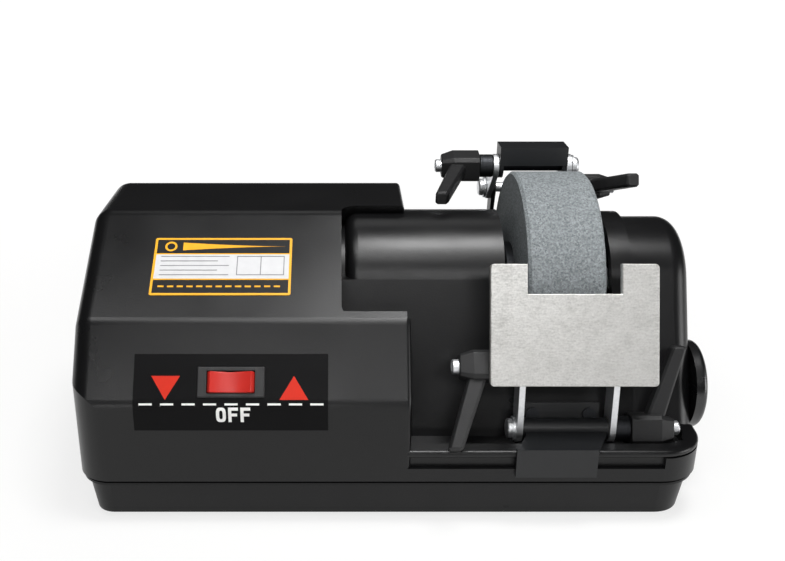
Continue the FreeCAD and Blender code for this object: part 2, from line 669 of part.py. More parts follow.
def base_pan():
    """Lower shell: sloping sides, a rim under the housing, a locating lip, screw bosses and a splash rib."""
    low, high = BASE_INSET_BOTTOM, BASE_INSET_TOP
    outer = Part.makeLoft([plan_wire(low, FOOT_STANDS), plan_wire(high, SEAM)], True, True)
    inner = Part.makeLoft([plan_wire(low + WALL, FLOOR), plan_wire(high + WALL, SEAM)], True, True)
    rim = plan_prism(RIM_INSET, SEAM - RIM_THICK, SEAM - SEAM_LINE)
    rim = rim.fuse(plan_prism(RIM_INSET + SEAM_LINE_DEPTH, SEAM - RIM_THICK, SEAM))
    rim = rim.cut(plan_prism(BASE_INSET_TOP + WALL, BELOW, ABOVE))
    lip_out = WALL + GROOVE_DEPTH + LIP_PLAY
    lip = plan_prism(lip_out, SEAM - RIM_THICK, SEAM + LIP_HEIGHT)
    lip = lip.cut(plan_prism(lip_out + LIP_THICK, BELOW, ABOVE))
    rib = box(SLOT_LEFT - WALL, SLOT_LEFT, Y_FRONT + lip_out, Y_BACK - lip_out, FLOOR, SEAM)
    pan = joined(outer.cut(inner), rim, lip, rib)
    clear = [rod_z(POST_RADIUS + DROP_PLAY, FLOOR + POST_SEAT, ABOVE, x, y) for x, y in case_posts()]
    clear.append(box(SLOT_LEFT - WALL - DROP_PLAY, SLOT_LEFT + DROP_PLAY, Y_FRONT, Y_BACK, SEAM, ABOVE))
    pan = pan.cut(clear)
    boss_radius, boss_top = POST_RADIUS + BOSS_WALL, FLOOR + POST_SEAT
    bosses = [rod_z(boss_radius, FLOOR - WALL / 2, boss_top, x, y) for x, y in case_posts()]
    pan = joined(pan, *bosses)
    holes = []
    for x, y in case_posts():
        holes.append(rod_z(SCREW_HEAD_RADIUS + DROP_PLAY, FOOT_STANDS, FOOT_STANDS + WALL, x, y))
        holes.append(rod_z(SCREW_RADIUS + DROP_PLAY, FOOT_STANDS, FLOOR + POST_SEAT, x, y))
    holes += [rod_z(FOOT_STEM_RADIUS + SEAT_PLAY, FOOT_STANDS, FLOOR, x, y) for x, y in foot_places()]
    blind = bracket_screw_places() + cradle_screw_places()
    holes += [rod_z(SCREW_RADIUS + SEAT_PLAY, FOOT_STANDS + BLIND_FLOOR, FLOOR, x, y) for x, y in blind]
    return pan.cut(holes)


def foot_places():
    columns = (X_LEFT + FOOT_INSET_X, X_RIGHT - FOOT_INSET_X)
    return [(x, y) for x in columns for y in (Y_FRONT + FOOT_INSET_Y, Y_BACK - FOOT_INSET_Y)]


def rubber_feet():
    """Round feet with a stem pushed through the floor of the base pan."""
    feet = []
    for x, y in foot_places():
        pad = rod_z(FOOT_RADIUS, 0.0, FOOT_STANDS, x, y)
        edge = [e for e in pad.Edges if abs(e.CenterOfMass.z) < PICK]
        pad = pad.makeChamfer(FOOT_CHAMFER, edge)
        stem = rod_z(FOOT_STEM_RADIUS, FOOT_STANDS, FLOOR, x, y)
        head = rod_z(FOOT_STEM_RADIUS + FOOT_BARB, FLOOR, FLOOR + FOOT_BARB_HEIGHT, x, y)
        feet.append(joined(pad, stem, head))
    return group(*feet)


def pan_screw(x, y, top, length, head_radius=SCREW_HEAD_RADIUS, up=1.0):
    """Screw along Z: a slotted round head with its seat at top and its shank running the way of up."""
    direction = Vector(0, 0, up)
    shank = Part.makeCylinder(SCREW_RADIUS, length, Vector(x, y, top), direction)
    head = Part.makeCylinder(head_radius, SCREW_HEAD_HEIGHT, Vector(x, y, top), -direction)
    half = SCREW_SLOT / 2
    slot = box(x - head_radius, x + head_radius, y - half, y + half, -half, half)
    slot.translate(Vector(0, 0, top - up * SCREW_HEAD_HEIGHT))
    return joined(shank, head).cut(slot)


def case_screws():
    return group(*[pan_screw(x, y, FLOOR, SCREW_LENGTH) for x, y in case_posts()])


def involute(angle):
    return math.tan(angle) - angle


def gear_solid(teeth, width, bore, x0, phase, y, z, backlash):
    """Spur gear: involute flanks from base to tip circle, thinned by the backlash, with straight roots."""
    pitch = GEAR_MODULE * teeth / 2
    base = pitch * math.cos(math.radians(PRESSURE_ANGLE))
    tip = pitch + GEAR_MODULE
    root = pitch - ROOT_DEPTH * GEAR_MODULE
    half_pitch = (math.pi * GEAR_MODULE / 2 - backlash) / (2 * pitch) + involute(math.radians(PRESSURE_ANGLE))
    start = max(base, root)
    radii = [start + (tip - start) * k / FLANK_STEPS for k in range(FLANK_STEPS + 1)]
    halves = [half_pitch - involute(math.acos(min(1.0, base / r))) for r in radii]
    points = []
    for i in range(teeth):
        centre = phase + 2 * math.pi * i / teeth
        left = [(r, centre - h) for r, h in zip(radii, halves)]
        right = [(r, centre + h) for r, h in zip(radii, halves)]
        points += [(root, centre - halves[0])] + left + right[::-1] + [(root, centre + halves[0])]
    vectors = [Vector(x0, y + r * math.cos(a), z + r * math.sin(a)) for r, a in points]
    solid = Part.Face(Part.makePolygon(vectors + vectors[:1])).extrude(Vector(width, 0, 0))
    return solid.cut(rod_x(bore, x0, x0 + width, y, z))


def drive_gear():
    """Large nylon gear on the wheel shaft, with a keyed hub; a tooth points at the pinion."""
    towards = math.atan2(MOTOR_Z - AZ, MOTOR_Y - AY)
    rim = gear_solid(GEAR_TEETH, GEAR_WIDTH, SHAFT_RADIUS + SEAT_PLAY, GEAR_X, towards, AY, AZ, BACKLASH)
    hub = rod_x(GEAR_HUB_RADIUS, GEAR_X + GEAR_WIDTH, GEAR_X + GEAR_WIDTH + GEAR_HUB_WIDTH)
    hub = hub.cut(rod_x(SHAFT_RADIUS + SEAT_PLAY, GEAR_X, GEAR_X + GEAR_WIDTH + GEAR_HUB_WIDTH))
    return joined(rim, hub).cut(gear_key(SEAT_PLAY))


def gear_key(play=0.0):
    """Square key between shaft and gear."""
    half = GEAR_KEY / 2 + play
    top = AZ + SHAFT_RADIUS
    return box(GEAR_X, GEAR_X + GEAR_WIDTH, AY - half, AY + half, top - half, top + half)


def pinion():
    """Small steel gear on the motor shaft; a gap faces the large gear's tooth."""
    towards = math.atan2(AZ - MOTOR_Z, AY - MOTOR_Y)
    phase = towards + math.pi / PINION_TEETH
    bore = MOTOR_SHAFT_RADIUS + SEAT_PLAY
    return gear_solid(PINION_TEETH, GEAR_WIDTH, bore, GEAR_X, phase, MOTOR_Y, MOTOR_Z, BACKLASH)


def wheel_shaft():
    """Steel spindle with a key seat at the gear end and a threaded end for the nut."""
    shaft = rod_x(SHAFT_RADIUS, AX - SHAFT_LEFT_FROM_AXIS, SHAFT_RIGHT)
    ends = [e for e in shaft.Edges if len(e.Vertexes) == 1]
    return shaft.makeChamfer(SHAFT_CHAMFER, ends).cut(gear_key())


def flange(side):
    """Clamp flange: a disc dished on the face towards the stone, so that it grips at its rim."""
    inside = AX + side * STONE_WIDTH / 2
    outside = inside + side * FLANGE_WIDTH
    x0, x1 = min(inside, outside), max(inside, outside)
    disc = end_rounded(rod_x(FLANGE_RADIUS, x0, x1), outside, FLANGE_ROUND)
    dish = rod_x(FLANGE_RADIUS - FLANGE_RIM, min(inside, inside + side * FLANGE_DISH),
                 max(inside, inside + side * FLANGE_DISH))
    return disc.cut([dish, rod_x(SHAFT_RADIUS + SEAT_PLAY, x0, x1)])


def grinding_stone():
    """Grey stone wheel with broken edges."""
    x0, x1 = AX - STONE_WIDTH / 2, AX + STONE_WIDTH / 2
    stone = rod_x(STONE_DIAMETER / 2, x0, x1)
    stone = stone.makeChamfer(STONE_EDGE, [e for e in stone.Edges if len(e.Vertexes) == 1])
    return stone.cut(rod_x(SHAFT_RADIUS + SEAT_PLAY, x0, x1))


def wheel_nut():
    x0 = AX + CLAMPED_HALF
    corner = NUT_ACROSS_FLATS / math.sqrt(3)
    turns = [math.pi / 3 * i for i in range(7)]
    points = [Vector(x0, AY + corner * math.cos(a), AZ + corner * math.sin(a)) for a in turns]
    hexagon = Part.Face(Part.makePolygon(points)).extrude(Vector(NUT_WIDTH, 0, 0))
    return hexagon.cut(rod_x(SHAFT_RADIUS + SEAT_PLAY, x0, x0 + NUT_WIDTH))


def bush_places():
    return [AX - BUSH_INNER_FROM_AXIS - BUSH_WIDTH / 2, AX - BUSH_OUTER_FROM_AXIS - BUSH_WIDTH / 2]


def shaft_bushes():
    rings = []
    for x in bush_places():
        ring = rod_x(BUSH_RADIUS, x, x + BUSH_WIDTH)
        rings.append(ring.cut(rod_x(SHAFT_RADIUS + PIN_PLAY, x, x + BUSH_WIDTH)))
    return group(*rings)


def bracket_screw_places():
    left, right = bush_places()[0] + 2 * BUSH_WIDTH, bush_places()[1] - BUSH_WIDTH
    return [(x, AY + side * (BRACKET_HALF - BRACKET_SCREW_INSET)) for x in (left, right) for side in (-1, 1)]


def bearing_bracket():
    """Cast frame on the base floor: a foot plate, two uprights with bush eyes and a web between them."""
    left, right = bush_places()
    foot = box(left, right + BUSH_WIDTH, AY - BRACKET_HALF, AY + BRACKET_HALF, FLOOR, FLOOR + BRACKET_FOOT)
    pieces = [foot]
    for x in (left, right):
        points = [(AY - BRACKET_HALF, FLOOR), (AY + BRACKET_HALF, FLOOR)]
        points += [(AY + BRACKET_EYE, AZ), (AY - BRACKET_EYE, AZ)]
        pieces.append(prism_x(points, [0.0] * 4, x, x + BUSH_WIDTH))
        pieces.append(rod_x(BRACKET_EYE, x, x + BUSH_WIDTH))
    half = BRACKET_WEB / 2
    pieces.append(box(left, right + BUSH_WIDTH, AY - half, AY + half, FLOOR, AZ - 2 * BRACKET_EYE))
    bracket = joined(*pieces)
    bores = [rod_x(BUSH_RADIUS + SEAT_PLAY, x, x + BUSH_WIDTH) for x in (left, right)]
    top = FLOOR + BRACKET_FOOT
    holes = [rod_z(SCREW_RADIUS + DROP_PLAY, FLOOR, top, x, y) for x, y in bracket_screw_places()]
    return bracket.cut(bores + holes)


def bracket_screws():
    length = BRACKET_FOOT + WALL - BLIND_FLOOR
    return group(*[pan_screw(x, y, FLOOR + BRACKET_FOOT, length, up=-1.0) for x, y in bracket_screw_places()])


def shaft_seal():
    """Lip ring in the wall between the dry and the wet side."""
    x0, x1 = SLOT_LEFT - WALL, SLOT_LEFT
    return rod_x(SEAL_RADIUS, x0, x1).cut(rod_x(SHAFT_RADIUS + PIN_PLAY, x0, x1))


def motor_can():
    """Deep drawn motor shell with a closed left end and a bearing cup."""
    cup = rod_x(MOTOR_RADIUS, MOTOR_LEFT, MOTOR_RIGHT - BELL_THICK, MOTOR_Y, MOTOR_Z)
    cup = end_rounded(cup, MOTOR_LEFT, MOTOR_ROUND)
    hollow = rod_x(MOTOR_RADIUS - MOTOR_SHELL, MOTOR_LEFT + MOTOR_SHELL, MOTOR_RIGHT, MOTOR_Y, MOTOR_Z)
    seat_end = MOTOR_LEFT + MOTOR_SHELL + MOTOR_BEARING_WIDTH
    seat = rod_x(MOTOR_BEARING_RADIUS + BEARING_CUP_WALL, MOTOR_LEFT, seat_end, MOTOR_Y, MOTOR_Z)
    bore = rod_x(MOTOR_BEARING_RADIUS + SEAT_PLAY, MOTOR_LEFT + MOTOR_SHELL, MOTOR_RIGHT, MOTOR_Y, MOTOR_Z)
    return joined(cup.cut(hollow), seat).cut(bore)


def motor_bell():
    """End plate of the motor with a bearing boss."""
    start = MOTOR_RIGHT - BELL_THICK
    plate = rod_x(MOTOR_RADIUS, start, MOTOR_RIGHT, MOTOR_Y, MOTOR_Z)
    boss_end = start + MOTOR_BEARING_WIDTH + BEARING_BOSS_FACE
    boss = rod_x(MOTOR_BEARING_RADIUS + BEARING_BOSS_WALL, start, boss_end, MOTOR_Y, MOTOR_Z)
    bore = rod_x(MOTOR_BEARING_RADIUS + SEAT_PLAY, start, start + MOTOR_BEARING_WIDTH, MOTOR_Y, MOTOR_Z)
    way = rod_x(MOTOR_SHAFT_RADIUS + BELL_SHAFT_ROOM, start, boss_end, MOTOR_Y, MOTOR_Z)
    return joined(plate, boss).cut([bore, way])


def motor_bearings():
    rings = []
    for x in (MOTOR_LEFT + MOTOR_SHELL, MOTOR_RIGHT - BELL_THICK):
        end = x + MOTOR_BEARING_WIDTH
        ring = rod_x(MOTOR_BEARING_RADIUS, x, end, MOTOR_Y, MOTOR_Z)
        rings.append(ring.cut(rod_x(MOTOR_SHAFT_RADIUS + PIN_PLAY, x, end, MOTOR_Y, MOTOR_Z)))
    return group(*rings)


def stator_start():
    return MOTOR_LEFT + (MOTOR_LENGTH - BELL_THICK - STATOR_WIDTH) / 2 + MOTOR_SHELL


def motor_stator():
    """Winding pack pressed into the motor shell."""
    x0 = stator_start()
    ring = rod_x(MOTOR_RADIUS - MOTOR_SHELL - SEAT_PLAY, x0, x0 + STATOR_WIDTH, MOTOR_Y, MOTOR_Z)
    return ring.cut(rod_x(ROTOR_RADIUS + ROTOR_GAP, x0, x0 + STATOR_WIDTH, MOTOR_Y, MOTOR_Z))


def motor_rotor():
    """Laminated rotor on the motor shaft."""
    x0 = stator_start()
    core = rod_x(ROTOR_RADIUS, x0, x0 + STATOR_WIDTH, MOTOR_Y, MOTOR_Z)
    return core.cut(rod_x(MOTOR_SHAFT_RADIUS + SEAT_PLAY, x0, x0 + STATOR_WIDTH, MOTOR_Y, MOTOR_Z))


def motor_shaft():
    start = MOTOR_LEFT + MOTOR_SHELL + FACE_PLAY
    return rod_x(MOTOR_SHAFT_RADIUS, start, GEAR_X + GEAR_WIDTH, MOTOR_Y, MOTOR_Z)


def cradle_places():
    return [MOTOR_LEFT + CRADLE_FROM_END, MOTOR_RIGHT - BELL_THICK - 2 * CRADLE_THICK]


def cradle_screw_places():
    reach = CRADLE_HALF - CRADLE_SCREW_INSET
    return [(x + CRADLE_THICK / 2, MOTOR_Y + side * reach) for x in cradle_places() for side in (-1, 1)]


def motor_cradle():
    """Two saddles on a floor plate that carry the motor shell."""
    left, right = cradle_places()
    plate_top = FLOOR + CRADLE_PLATE
    pieces = [box(left, right + CRADLE_THICK, MOTOR_Y - CRADLE_HALF, MOTOR_Y + CRADLE_HALF, FLOOR, plate_top)]
    half = CRADLE_HALF - SADDLE_INSET
    for x in (left, right):
        pieces.append(box(x, x + CRADLE_THICK, MOTOR_Y - half, MOTOR_Y + half, FLOOR, MOTOR_Z - half / 2))
    cradle = joined(*pieces)
    seat = rod_x(MOTOR_RADIUS + SEAT_PLAY, MOTOR_LEFT, MOTOR_RIGHT, MOTOR_Y, MOTOR_Z)
    holes = [rod_z(SCREW_RADIUS + DROP_PLAY, FLOOR, plate_top, x, y) for x, y in cradle_screw_places()]
    return cradle.cut([seat] + holes)


def cradle_screws():
    length = CRADLE_PLATE + WALL - BLIND_FLOOR
    return group(*[pan_screw(x, y, FLOOR + CRADLE_PLATE, length, up=-1.0) for x, y in cradle_screw_places()])


def capacitor_place():
    return X_LEFT + FOOT_INSET_X + POST_RADIUS, AY - CAPACITOR_BACK, FLOOR + CLIP_THICK + CAPACITOR_RADIUS


def run_capacitor():
    x, y, z = capacitor_place()
    can = rod_x(CAPACITOR_RADIUS, x, x + CAPACITOR_LENGTH, y, z)
    can = end_rounded(can, x, CAPACITOR_ROUND)
    tag = box(0, TAG_LENGTH, -TAG_WIDTH / 2, TAG_WIDTH / 2, -TAG_THICK / 2, TAG_THICK / 2)
    places = [Vector(x + CAPACITOR_LENGTH, y + side * TAG_SPREAD, z) for side in (-1, 1)]
    return joined(can, *[tag.translated(place) for place in places])


def capacitor_clip():
    """Spring strap screwed to the floor round the capacitor."""
    x, y, z = capacitor_place()
    x += (CAPACITOR_LENGTH - CLIP_WIDTH) / 2
    band = rod_x(CAPACITOR_RADIUS + CLIP_THICK, x, x + CLIP_WIDTH, y, z)
    foot = box(x, x + CLIP_WIDTH, y - CAPACITOR_RADIUS, y + CAPACITOR_RADIUS, FLOOR, FLOOR + CLIP_THICK)
    mouth = box(x, x + CLIP_WIDTH, y - CLIP_MOUTH / 2, y + CLIP_MOUTH / 2, z, z + 2 * CAPACITOR_RADIUS)
    return joined(band, foot).cut([rod_x(CAPACITOR_RADIUS + SEAT_PLAY, x, x + CLIP_WIDTH, y, z), mouth])


def water_tray():
    """Loose trough on the base floor under the stone."""
    x0, x1 = AX - TRAY_HALF, AX + TRAY_HALF
    y0, y1 = AY - TRAY_FRONT_FROM_AXIS, AY + TRAY_BACK_FROM_AXIS
    wall, top = TRAY_WALL, FLOOR + TRAY_HEIGHT
    outer = corners_rounded(box(x0, x1, y0, y1, FLOOR, top), TRAY_CORNER)
    inner = box(x0 + wall, x1 - wall, y0 + wall, y1 - wall, FLOOR + wall, top)
    return outer.cut(corners_rounded(inner, TRAY_CORNER - wall))


def centred(size, z0, z1):
    """Block in a local frame, centred across and along, from z0 to z1."""
    return box(-size[0] / 2, size[0] / 2, -size[1] / 2, size[1] / 2, z0, z1)


def grown(size, by):
    return size[0] + 2 * by, size[1] + 2 * by


def switch_x():
    return AX - SWITCH_FROM_AXIS


def switch_cutout():
    return on_panel(centred(grown(SWITCH_BODY, SEAT_PLAY), -3 * WALL, WALL), switch_x(), SWITCH_UP_PANEL)


def switch_frame():
    """Bezel and body of the rocker switch, hollow where the rocker swings."""
    seat = LABEL_THICK
    bezel = centred(SWITCH_FRAME, seat, seat + SWITCH_FRAME_STANDS)
    rims = [e for e in bezel.Edges if abs(e.CenterOfMass.z - seat) > PICK]
    bezel = bezel.makeFillet(SWITCH_FRAME_ROUND, rims)
    body = centred(SWITCH_BODY, -SWITCH_BODY_DEPTH, seat)
    opening = centred(grown(ROCKER_SIZE, ROCKER_PLAY), -4 * ROCKER_PIVOT_DEPTH, seat + SWITCH_FRAME_STANDS)
    return on_panel(joined(bezel, body).cut(opening), switch_x(), SWITCH_UP_PANEL)


def rocker_pivot():
    """Rocker axis: up the panel, a little below its surface."""
    return on_panel(Part.Vertex(0, 0, LABEL_THICK - ROCKER_PIVOT_DEPTH), switch_x(), SWITCH_UP_PANEL).Point


def switch_rocker():
    """Red rocker with ends that are arcs about its axis and a face that dips to the middle."""
    pivot = LABEL_THICK - ROCKER_PIVOT_DEPTH
    top = LABEL_THICK + ROCKER_STANDS
    half = ROCKER_SIZE[0] / 2
    blank = centred(ROCKER_SIZE, pivot - ROCKER_PIVOT_DEPTH, top)
    blank = blank.makeFillet(ROCKER_ROUND, [e for e in blank.Edges if abs(e.CenterOfMass.z - top) < PICK])
    width, edge = ROCKER_SIZE[1], -ROCKER_SIZE[1] / 2
    reach = math.hypot(half, top - pivot) - ROCKER_DIP
    sweep = Part.makeCylinder(reach, width, Vector(0, edge, pivot), Y_DIRECTION)
    hollow = half ** 2 / (2 * ROCKER_DIP)
    dish = Part.makeCylinder(hollow, width, Vector(0, edge, top + hollow - ROCKER_DIP), Y_DIRECTION)
    return on_panel(blank.common(sweep).cut(dish), switch_x(), SWITCH_UP_PANEL)


def control_label():
    """Thin glossy plate that covers the panel round the switch and wraps over its lower edge."""
    points, radii = motor_outline(-LABEL_THICK)
    x0, x1 = AX - LABEL_LEFT_FROM_AXIS, AX - LABEL_RIGHT_FROM_AXIS
    skin = prism_x(points, radii, x0, x1).cut(prism_x(*motor_outline(), x0, x1))
    front = box(x0, x1, Y_FRONT - WALL, Y_FRONT + WALL, PANEL_FOOT - LABEL_DOWN_FRONT, PANEL_FOOT)
    panel = on_panel(box(x0, x1, -WALL, LABEL_UP_PANEL, -WALL, WALL), 0.0, 0.0)
    hole = on_panel(centred(grown(SWITCH_BODY, SEAT_PLAY), -WALL, WALL), switch_x(), SWITCH_UP_PANEL)
    return skin.common(joined(front, panel)).cut(hole)


def nameplate():
    """Thin printed plate on the label slope."""
    width = PLATE_LEFT_FROM_AXIS - PLATE_RIGHT_FROM_AXIS
    plate = centred((width, PLATE_HIGH - PLATE_LOW), 0.0, LABEL_THICK)
    plate = corners_rounded(plate, PLATE_ROUND)
    middle = AX - (PLATE_LEFT_FROM_AXIS + PLATE_RIGHT_FROM_AXIS) / 2
    return on_slope(plate, middle, (PLATE_LOW + PLATE_HIGH) / 2)


def gland_at(radius, y0, y1):
    return Part.makeCylinder(radius, y1 - y0, Vector(X_LEFT + GLAND_FROM_LEFT, y0, GLAND_HEIGHT), Y_DIRECTION)


def gland_hole():
    return gland_at(GLAND_RADIUS + SEAT_PLAY, Y_BACK - 2 * WALL, Y_BACK + WALL)


def cord_gland():
    """Flanged inlet bush in the back wall, its bore bare."""
    start, end = Y_BACK - WALL - GLAND_GRIP, Y_BACK + GLAND_RIM
    body = gland_at(GLAND_RADIUS, start, Y_BACK)
    rim = gland_at(GLAND_FLANGE, Y_BACK, end)
    rim = rim.makeFillet(GLAND_RIM_ROUND, [e for e in rim.Edges if abs(e.CenterOfMass.y - end) < PICK])
    grip = gland_at(GLAND_RADIUS + GLAND_GRIP_STANDS, start, Y_BACK - WALL)
    return joined(body, rim, grip).cut(gland_at(GLAND_BORE, Y_BACK - 4 * WALL, Y_BACK + 2 * WALL))


def motor_lead():
    """Insulated lead from the back of the switch to the motor shell: two runs and one bend."""
    normal = Vector(0, -math.sin(math.radians(PANEL_ANGLE)), math.cos(math.radians(PANEL_ANGLE)))
    start = on_panel(Part.Vertex(0, 0, -SWITCH_BODY_DEPTH), switch_x(), SWITCH_UP_PANEL).Point
    corner = start - normal * LEAD_DROP
    aim = Vector(switch_x(), MOTOR_Y, MOTOR_Z)
    heading = (aim - corner).normalize()
    end = aim - heading * (MOTOR_RADIUS + FACE_PLAY)
    turn_half = math.acos(heading.dot(-normal)) / 2
    run = LEAD_BEND * math.tan(turn_half)
    first, last = corner + normal * run, corner + heading * run
    inward = (normal + heading).normalize()
    middle = corner + inward * (LEAD_BEND / math.cos(turn_half) - LEAD_BEND)
    runs = [Part.LineSegment(start, first), Part.Arc(first, middle, last), Part.LineSegment(last, end)]
    path = Part.Wire([run.toShape() for run in runs])
    section = Part.Wire(Part.makeCircle(LEAD_RADIUS, start, normal))
    return path.makePipeShell([section], True, False)


def from_axis(place):
    """Turns a (y, z) place measured from the wheel axis into one in the part's frame."""
    return AY + place[0], AZ + place[1]


def strap_pair(low, high, centre, inside):
    """Two flat arms, one each side, with a hole at each end."""
    arms = []
    for x0 in (centre - inside - STRAP_THICK, centre + inside):
        x1 = x0 + STRAP_THICK
        across = unit(low, high)
        side = (-across[1] * STRAP_END, across[0] * STRAP_END)
        points = [(low[0] + side[0], low[1] + side[1]), (low[0] - side[0], low[1] - side[1])]
        points += [(high[0] - side[0], high[1] - side[1]), (high[0] + side[0], high[1] + side[1])]
        ends = [rod_x(STRAP_END, x0, x1, *place) for place in (low, high)]
        bar = joined(prism_x(points, [0.0] * 4, x0, x1), *ends)
        arms.append(bar.cut([rod_x(BOLT_RADIUS + PIN_PLAY, x0, x1, *place) for place in (low, high)]))
    return group(*arms)


def clamp_bolt(place, lever_side, centre, inside):
    """Bolt across both straps: domed head and washer on one side, threaded end in the lever on the other."""
    outside = inside + STRAP_THICK + FACE_PLAY
    head_in = centre - lever_side * outside
    washer_end = head_in - lever_side * WASHER_THICK
    head_end = washer_end - lever_side * BOLT_HEAD
    tip = centre + lever_side * (outside + BOLT_REACH)
    shank = rod_x(BOLT_RADIUS, *sorted((head_end, tip)), *place)
    washer = rod_x(WASHER_RADIUS, *sorted((head_in, washer_end)), *place)
    head = rod_x(BOLT_HEAD_RADIUS, *sorted((washer_end, head_end)), *place)
    return joined(shank, end_rounded(head, head_end, BOLT_HEAD_ROUND), washer)


def cut_square(half, x):
    """Square wire across X with its corners cut off in the proportion of the lever's hub."""
    flat = half * (1.0 - LEVER_HUB_CUT / LEVER_HUB_HALF)
    corners = [(half, -flat), (half, flat), (flat, half), (-flat, half)]
    corners += [(-half, flat), (-half, -flat), (-flat, -half), (flat, -half)]
    return Part.makePolygon([Vector(x, y, z) for y, z in corners + corners[:1]])


def lever_parts(place, side, angle, centre, inside):
    """Clamp lever: a square tapering hub with a leaning arm, and its steel collar, sleeve and end screw.
    The arm points at this angle in the (y, z) plane, counted from +Y towards +Z."""
    start = inside + STRAP_THICK + FACE_PLAY
    collar_end = start + LEVER_COLLAR
    hub_end = collar_end + LEVER_HUB
    screw_end = hub_end + LEVER_SCREW
    taper = hub_end - LEVER_TAPER
    sections = [(collar_end, LEVER_HUB_HALF), (taper, LEVER_HUB_HALF), (hub_end, LEVER_NOSE_HALF)]
    hub = Part.makeLoft([cut_square(half, x) for x, half in sections], True, True)
    root = collar_end + LEVER_HUB / 2
    tip = root + LEVER_ARM_LEAN
    outline = [(root - LEVER_ARM_ROOT / 2, 0.0), (root + LEVER_ARM_ROOT / 2, 0.0)]
    outline += [(tip + LEVER_ARM_TIP / 2, LEVER_ARM), (tip - LEVER_ARM_TIP / 2, LEVER_ARM)]
    rounds = [0.0, 0.0, LEVER_TIP_ROUND, LEVER_TIP_ROUND]
    wire = outline_wire(outline, rounds, lambda x, r: Vector(x, r, -LEVER_ARM_THICK / 2))
    arm = Part.Face(wire).extrude(Vector(0, 0, LEVER_ARM_THICK))
    long_edges = [e for e in arm.Edges if abs(abs(e.CenterOfMass.z) - LEVER_ARM_THICK / 2) < PICK]
    arm = arm.makeFillet(LEVER_ROUND, [e for e in long_edges if e.CenterOfMass.y > PICK])
    sleeve = rod_x(LEVER_SLEEVE_RADIUS, collar_end, hub_end, 0, 0)
    handle = joined(hub, arm).cut(rod_x(LEVER_SLEEVE_RADIUS + SEAT_PLAY, collar_end, hub_end, 0, 0))
    insert = joined(rod_x(LEVER_COLLAR_RADIUS, start, collar_end, 0, 0), sleeve)
    insert = insert.cut(rod_x(BOLT_RADIUS + PIN_PLAY, start, start + BOLT_REACH + FACE_PLAY, 0, 0))
    screw = end_rounded(rod_x(LEVER_SCREW_RADIUS, hub_end, screw_end, 0, 0), screw_end, LEVER_SCREW_ROUND)
    socket = rod_x(LEVER_SOCKET_RADIUS, screw_end - LEVER_SOCKET_DEPTH, screw_end, 0, 0)
    insert = joined(insert, screw).cut(socket)
    placed = []
    for shape in (handle, insert):
        shape = shape if side > 0 else shape.mirror(Vector(0, 0, 0), X_DIRECTION)
        shape = shape.transformed(Placement(Vector(centre, *place), Rotation(X_DIRECTION, angle)).toMatrix())
        placed.append(shape)
    return placed


def wall_screw_frame():
    """Centre line of the front bracket's screws on the sloping wall, and the wall's direction and normal."""
    touch = wall_touch(COVER_RADIUS)
    along = unit(WALL_FOOT, touch)
    normal = (-along[1], along[0])
    up = BACK_PLATE_UP - 2 * MOUNT_SCREW_HEAD + MOUNT_SCREW_ROOM
    return (WALL_FOOT[0] + along[0] * up, WALL_FOOT[1] + along[1] * up), along, normal


def wall_screw(shank_radius, head_radius, shank, head):
    """One pair of screw-like shapes square to the sloping wall."""
    place, _, normal = wall_screw_frame()
    out = Vector(0, *normal)
    shapes = []
    for side in (-1, 1):
        centre = Vector(AX + side * MOUNT_SCREW_SPREAD, *place) + out * SHEET
        pieces = [Part.makeCylinder(shank_radius, shank, centre, -out)]
        if head:
            pieces.append(Part.makeCylinder(head_radius, head, centre, out))
        shapes.append(joined(*pieces) if head else pieces[0])
    return shapes


def shelf_screw(shank_radius, head_radius, shank, head):
    """The rear bracket's screws, straight down into the shelf."""
    shapes = []
    spread = REAR_INSIDE + STRAP_THICK + MOUNT_SCREW_HEAD + MOUNT_SCREW_ROOM
    for side in (-1, 1):
        centre = Vector(REAR_X + side * spread, Y_BACK - SHELF_SCREW_INSET, SHELF_HEIGHT + SHEET)
        pieces = [Part.makeCylinder(shank_radius, shank, centre, -Z_DIRECTION)]
        if head:
            pieces.append(Part.makeCylinder(head_radius, head, centre, Z_DIRECTION))
        shapes.append(joined(*pieces) if head else pieces[0])
    return shapes


def mount_screw_holes():
    depth = SHEET + 2 * WALL
    radius = MOUNT_SCREW_RADIUS + SEAT_PLAY
    return Part.makeCompound(wall_screw(radius, 0.0, depth, 0.0) + shelf_screw(radius, 0.0, depth, 0.0))


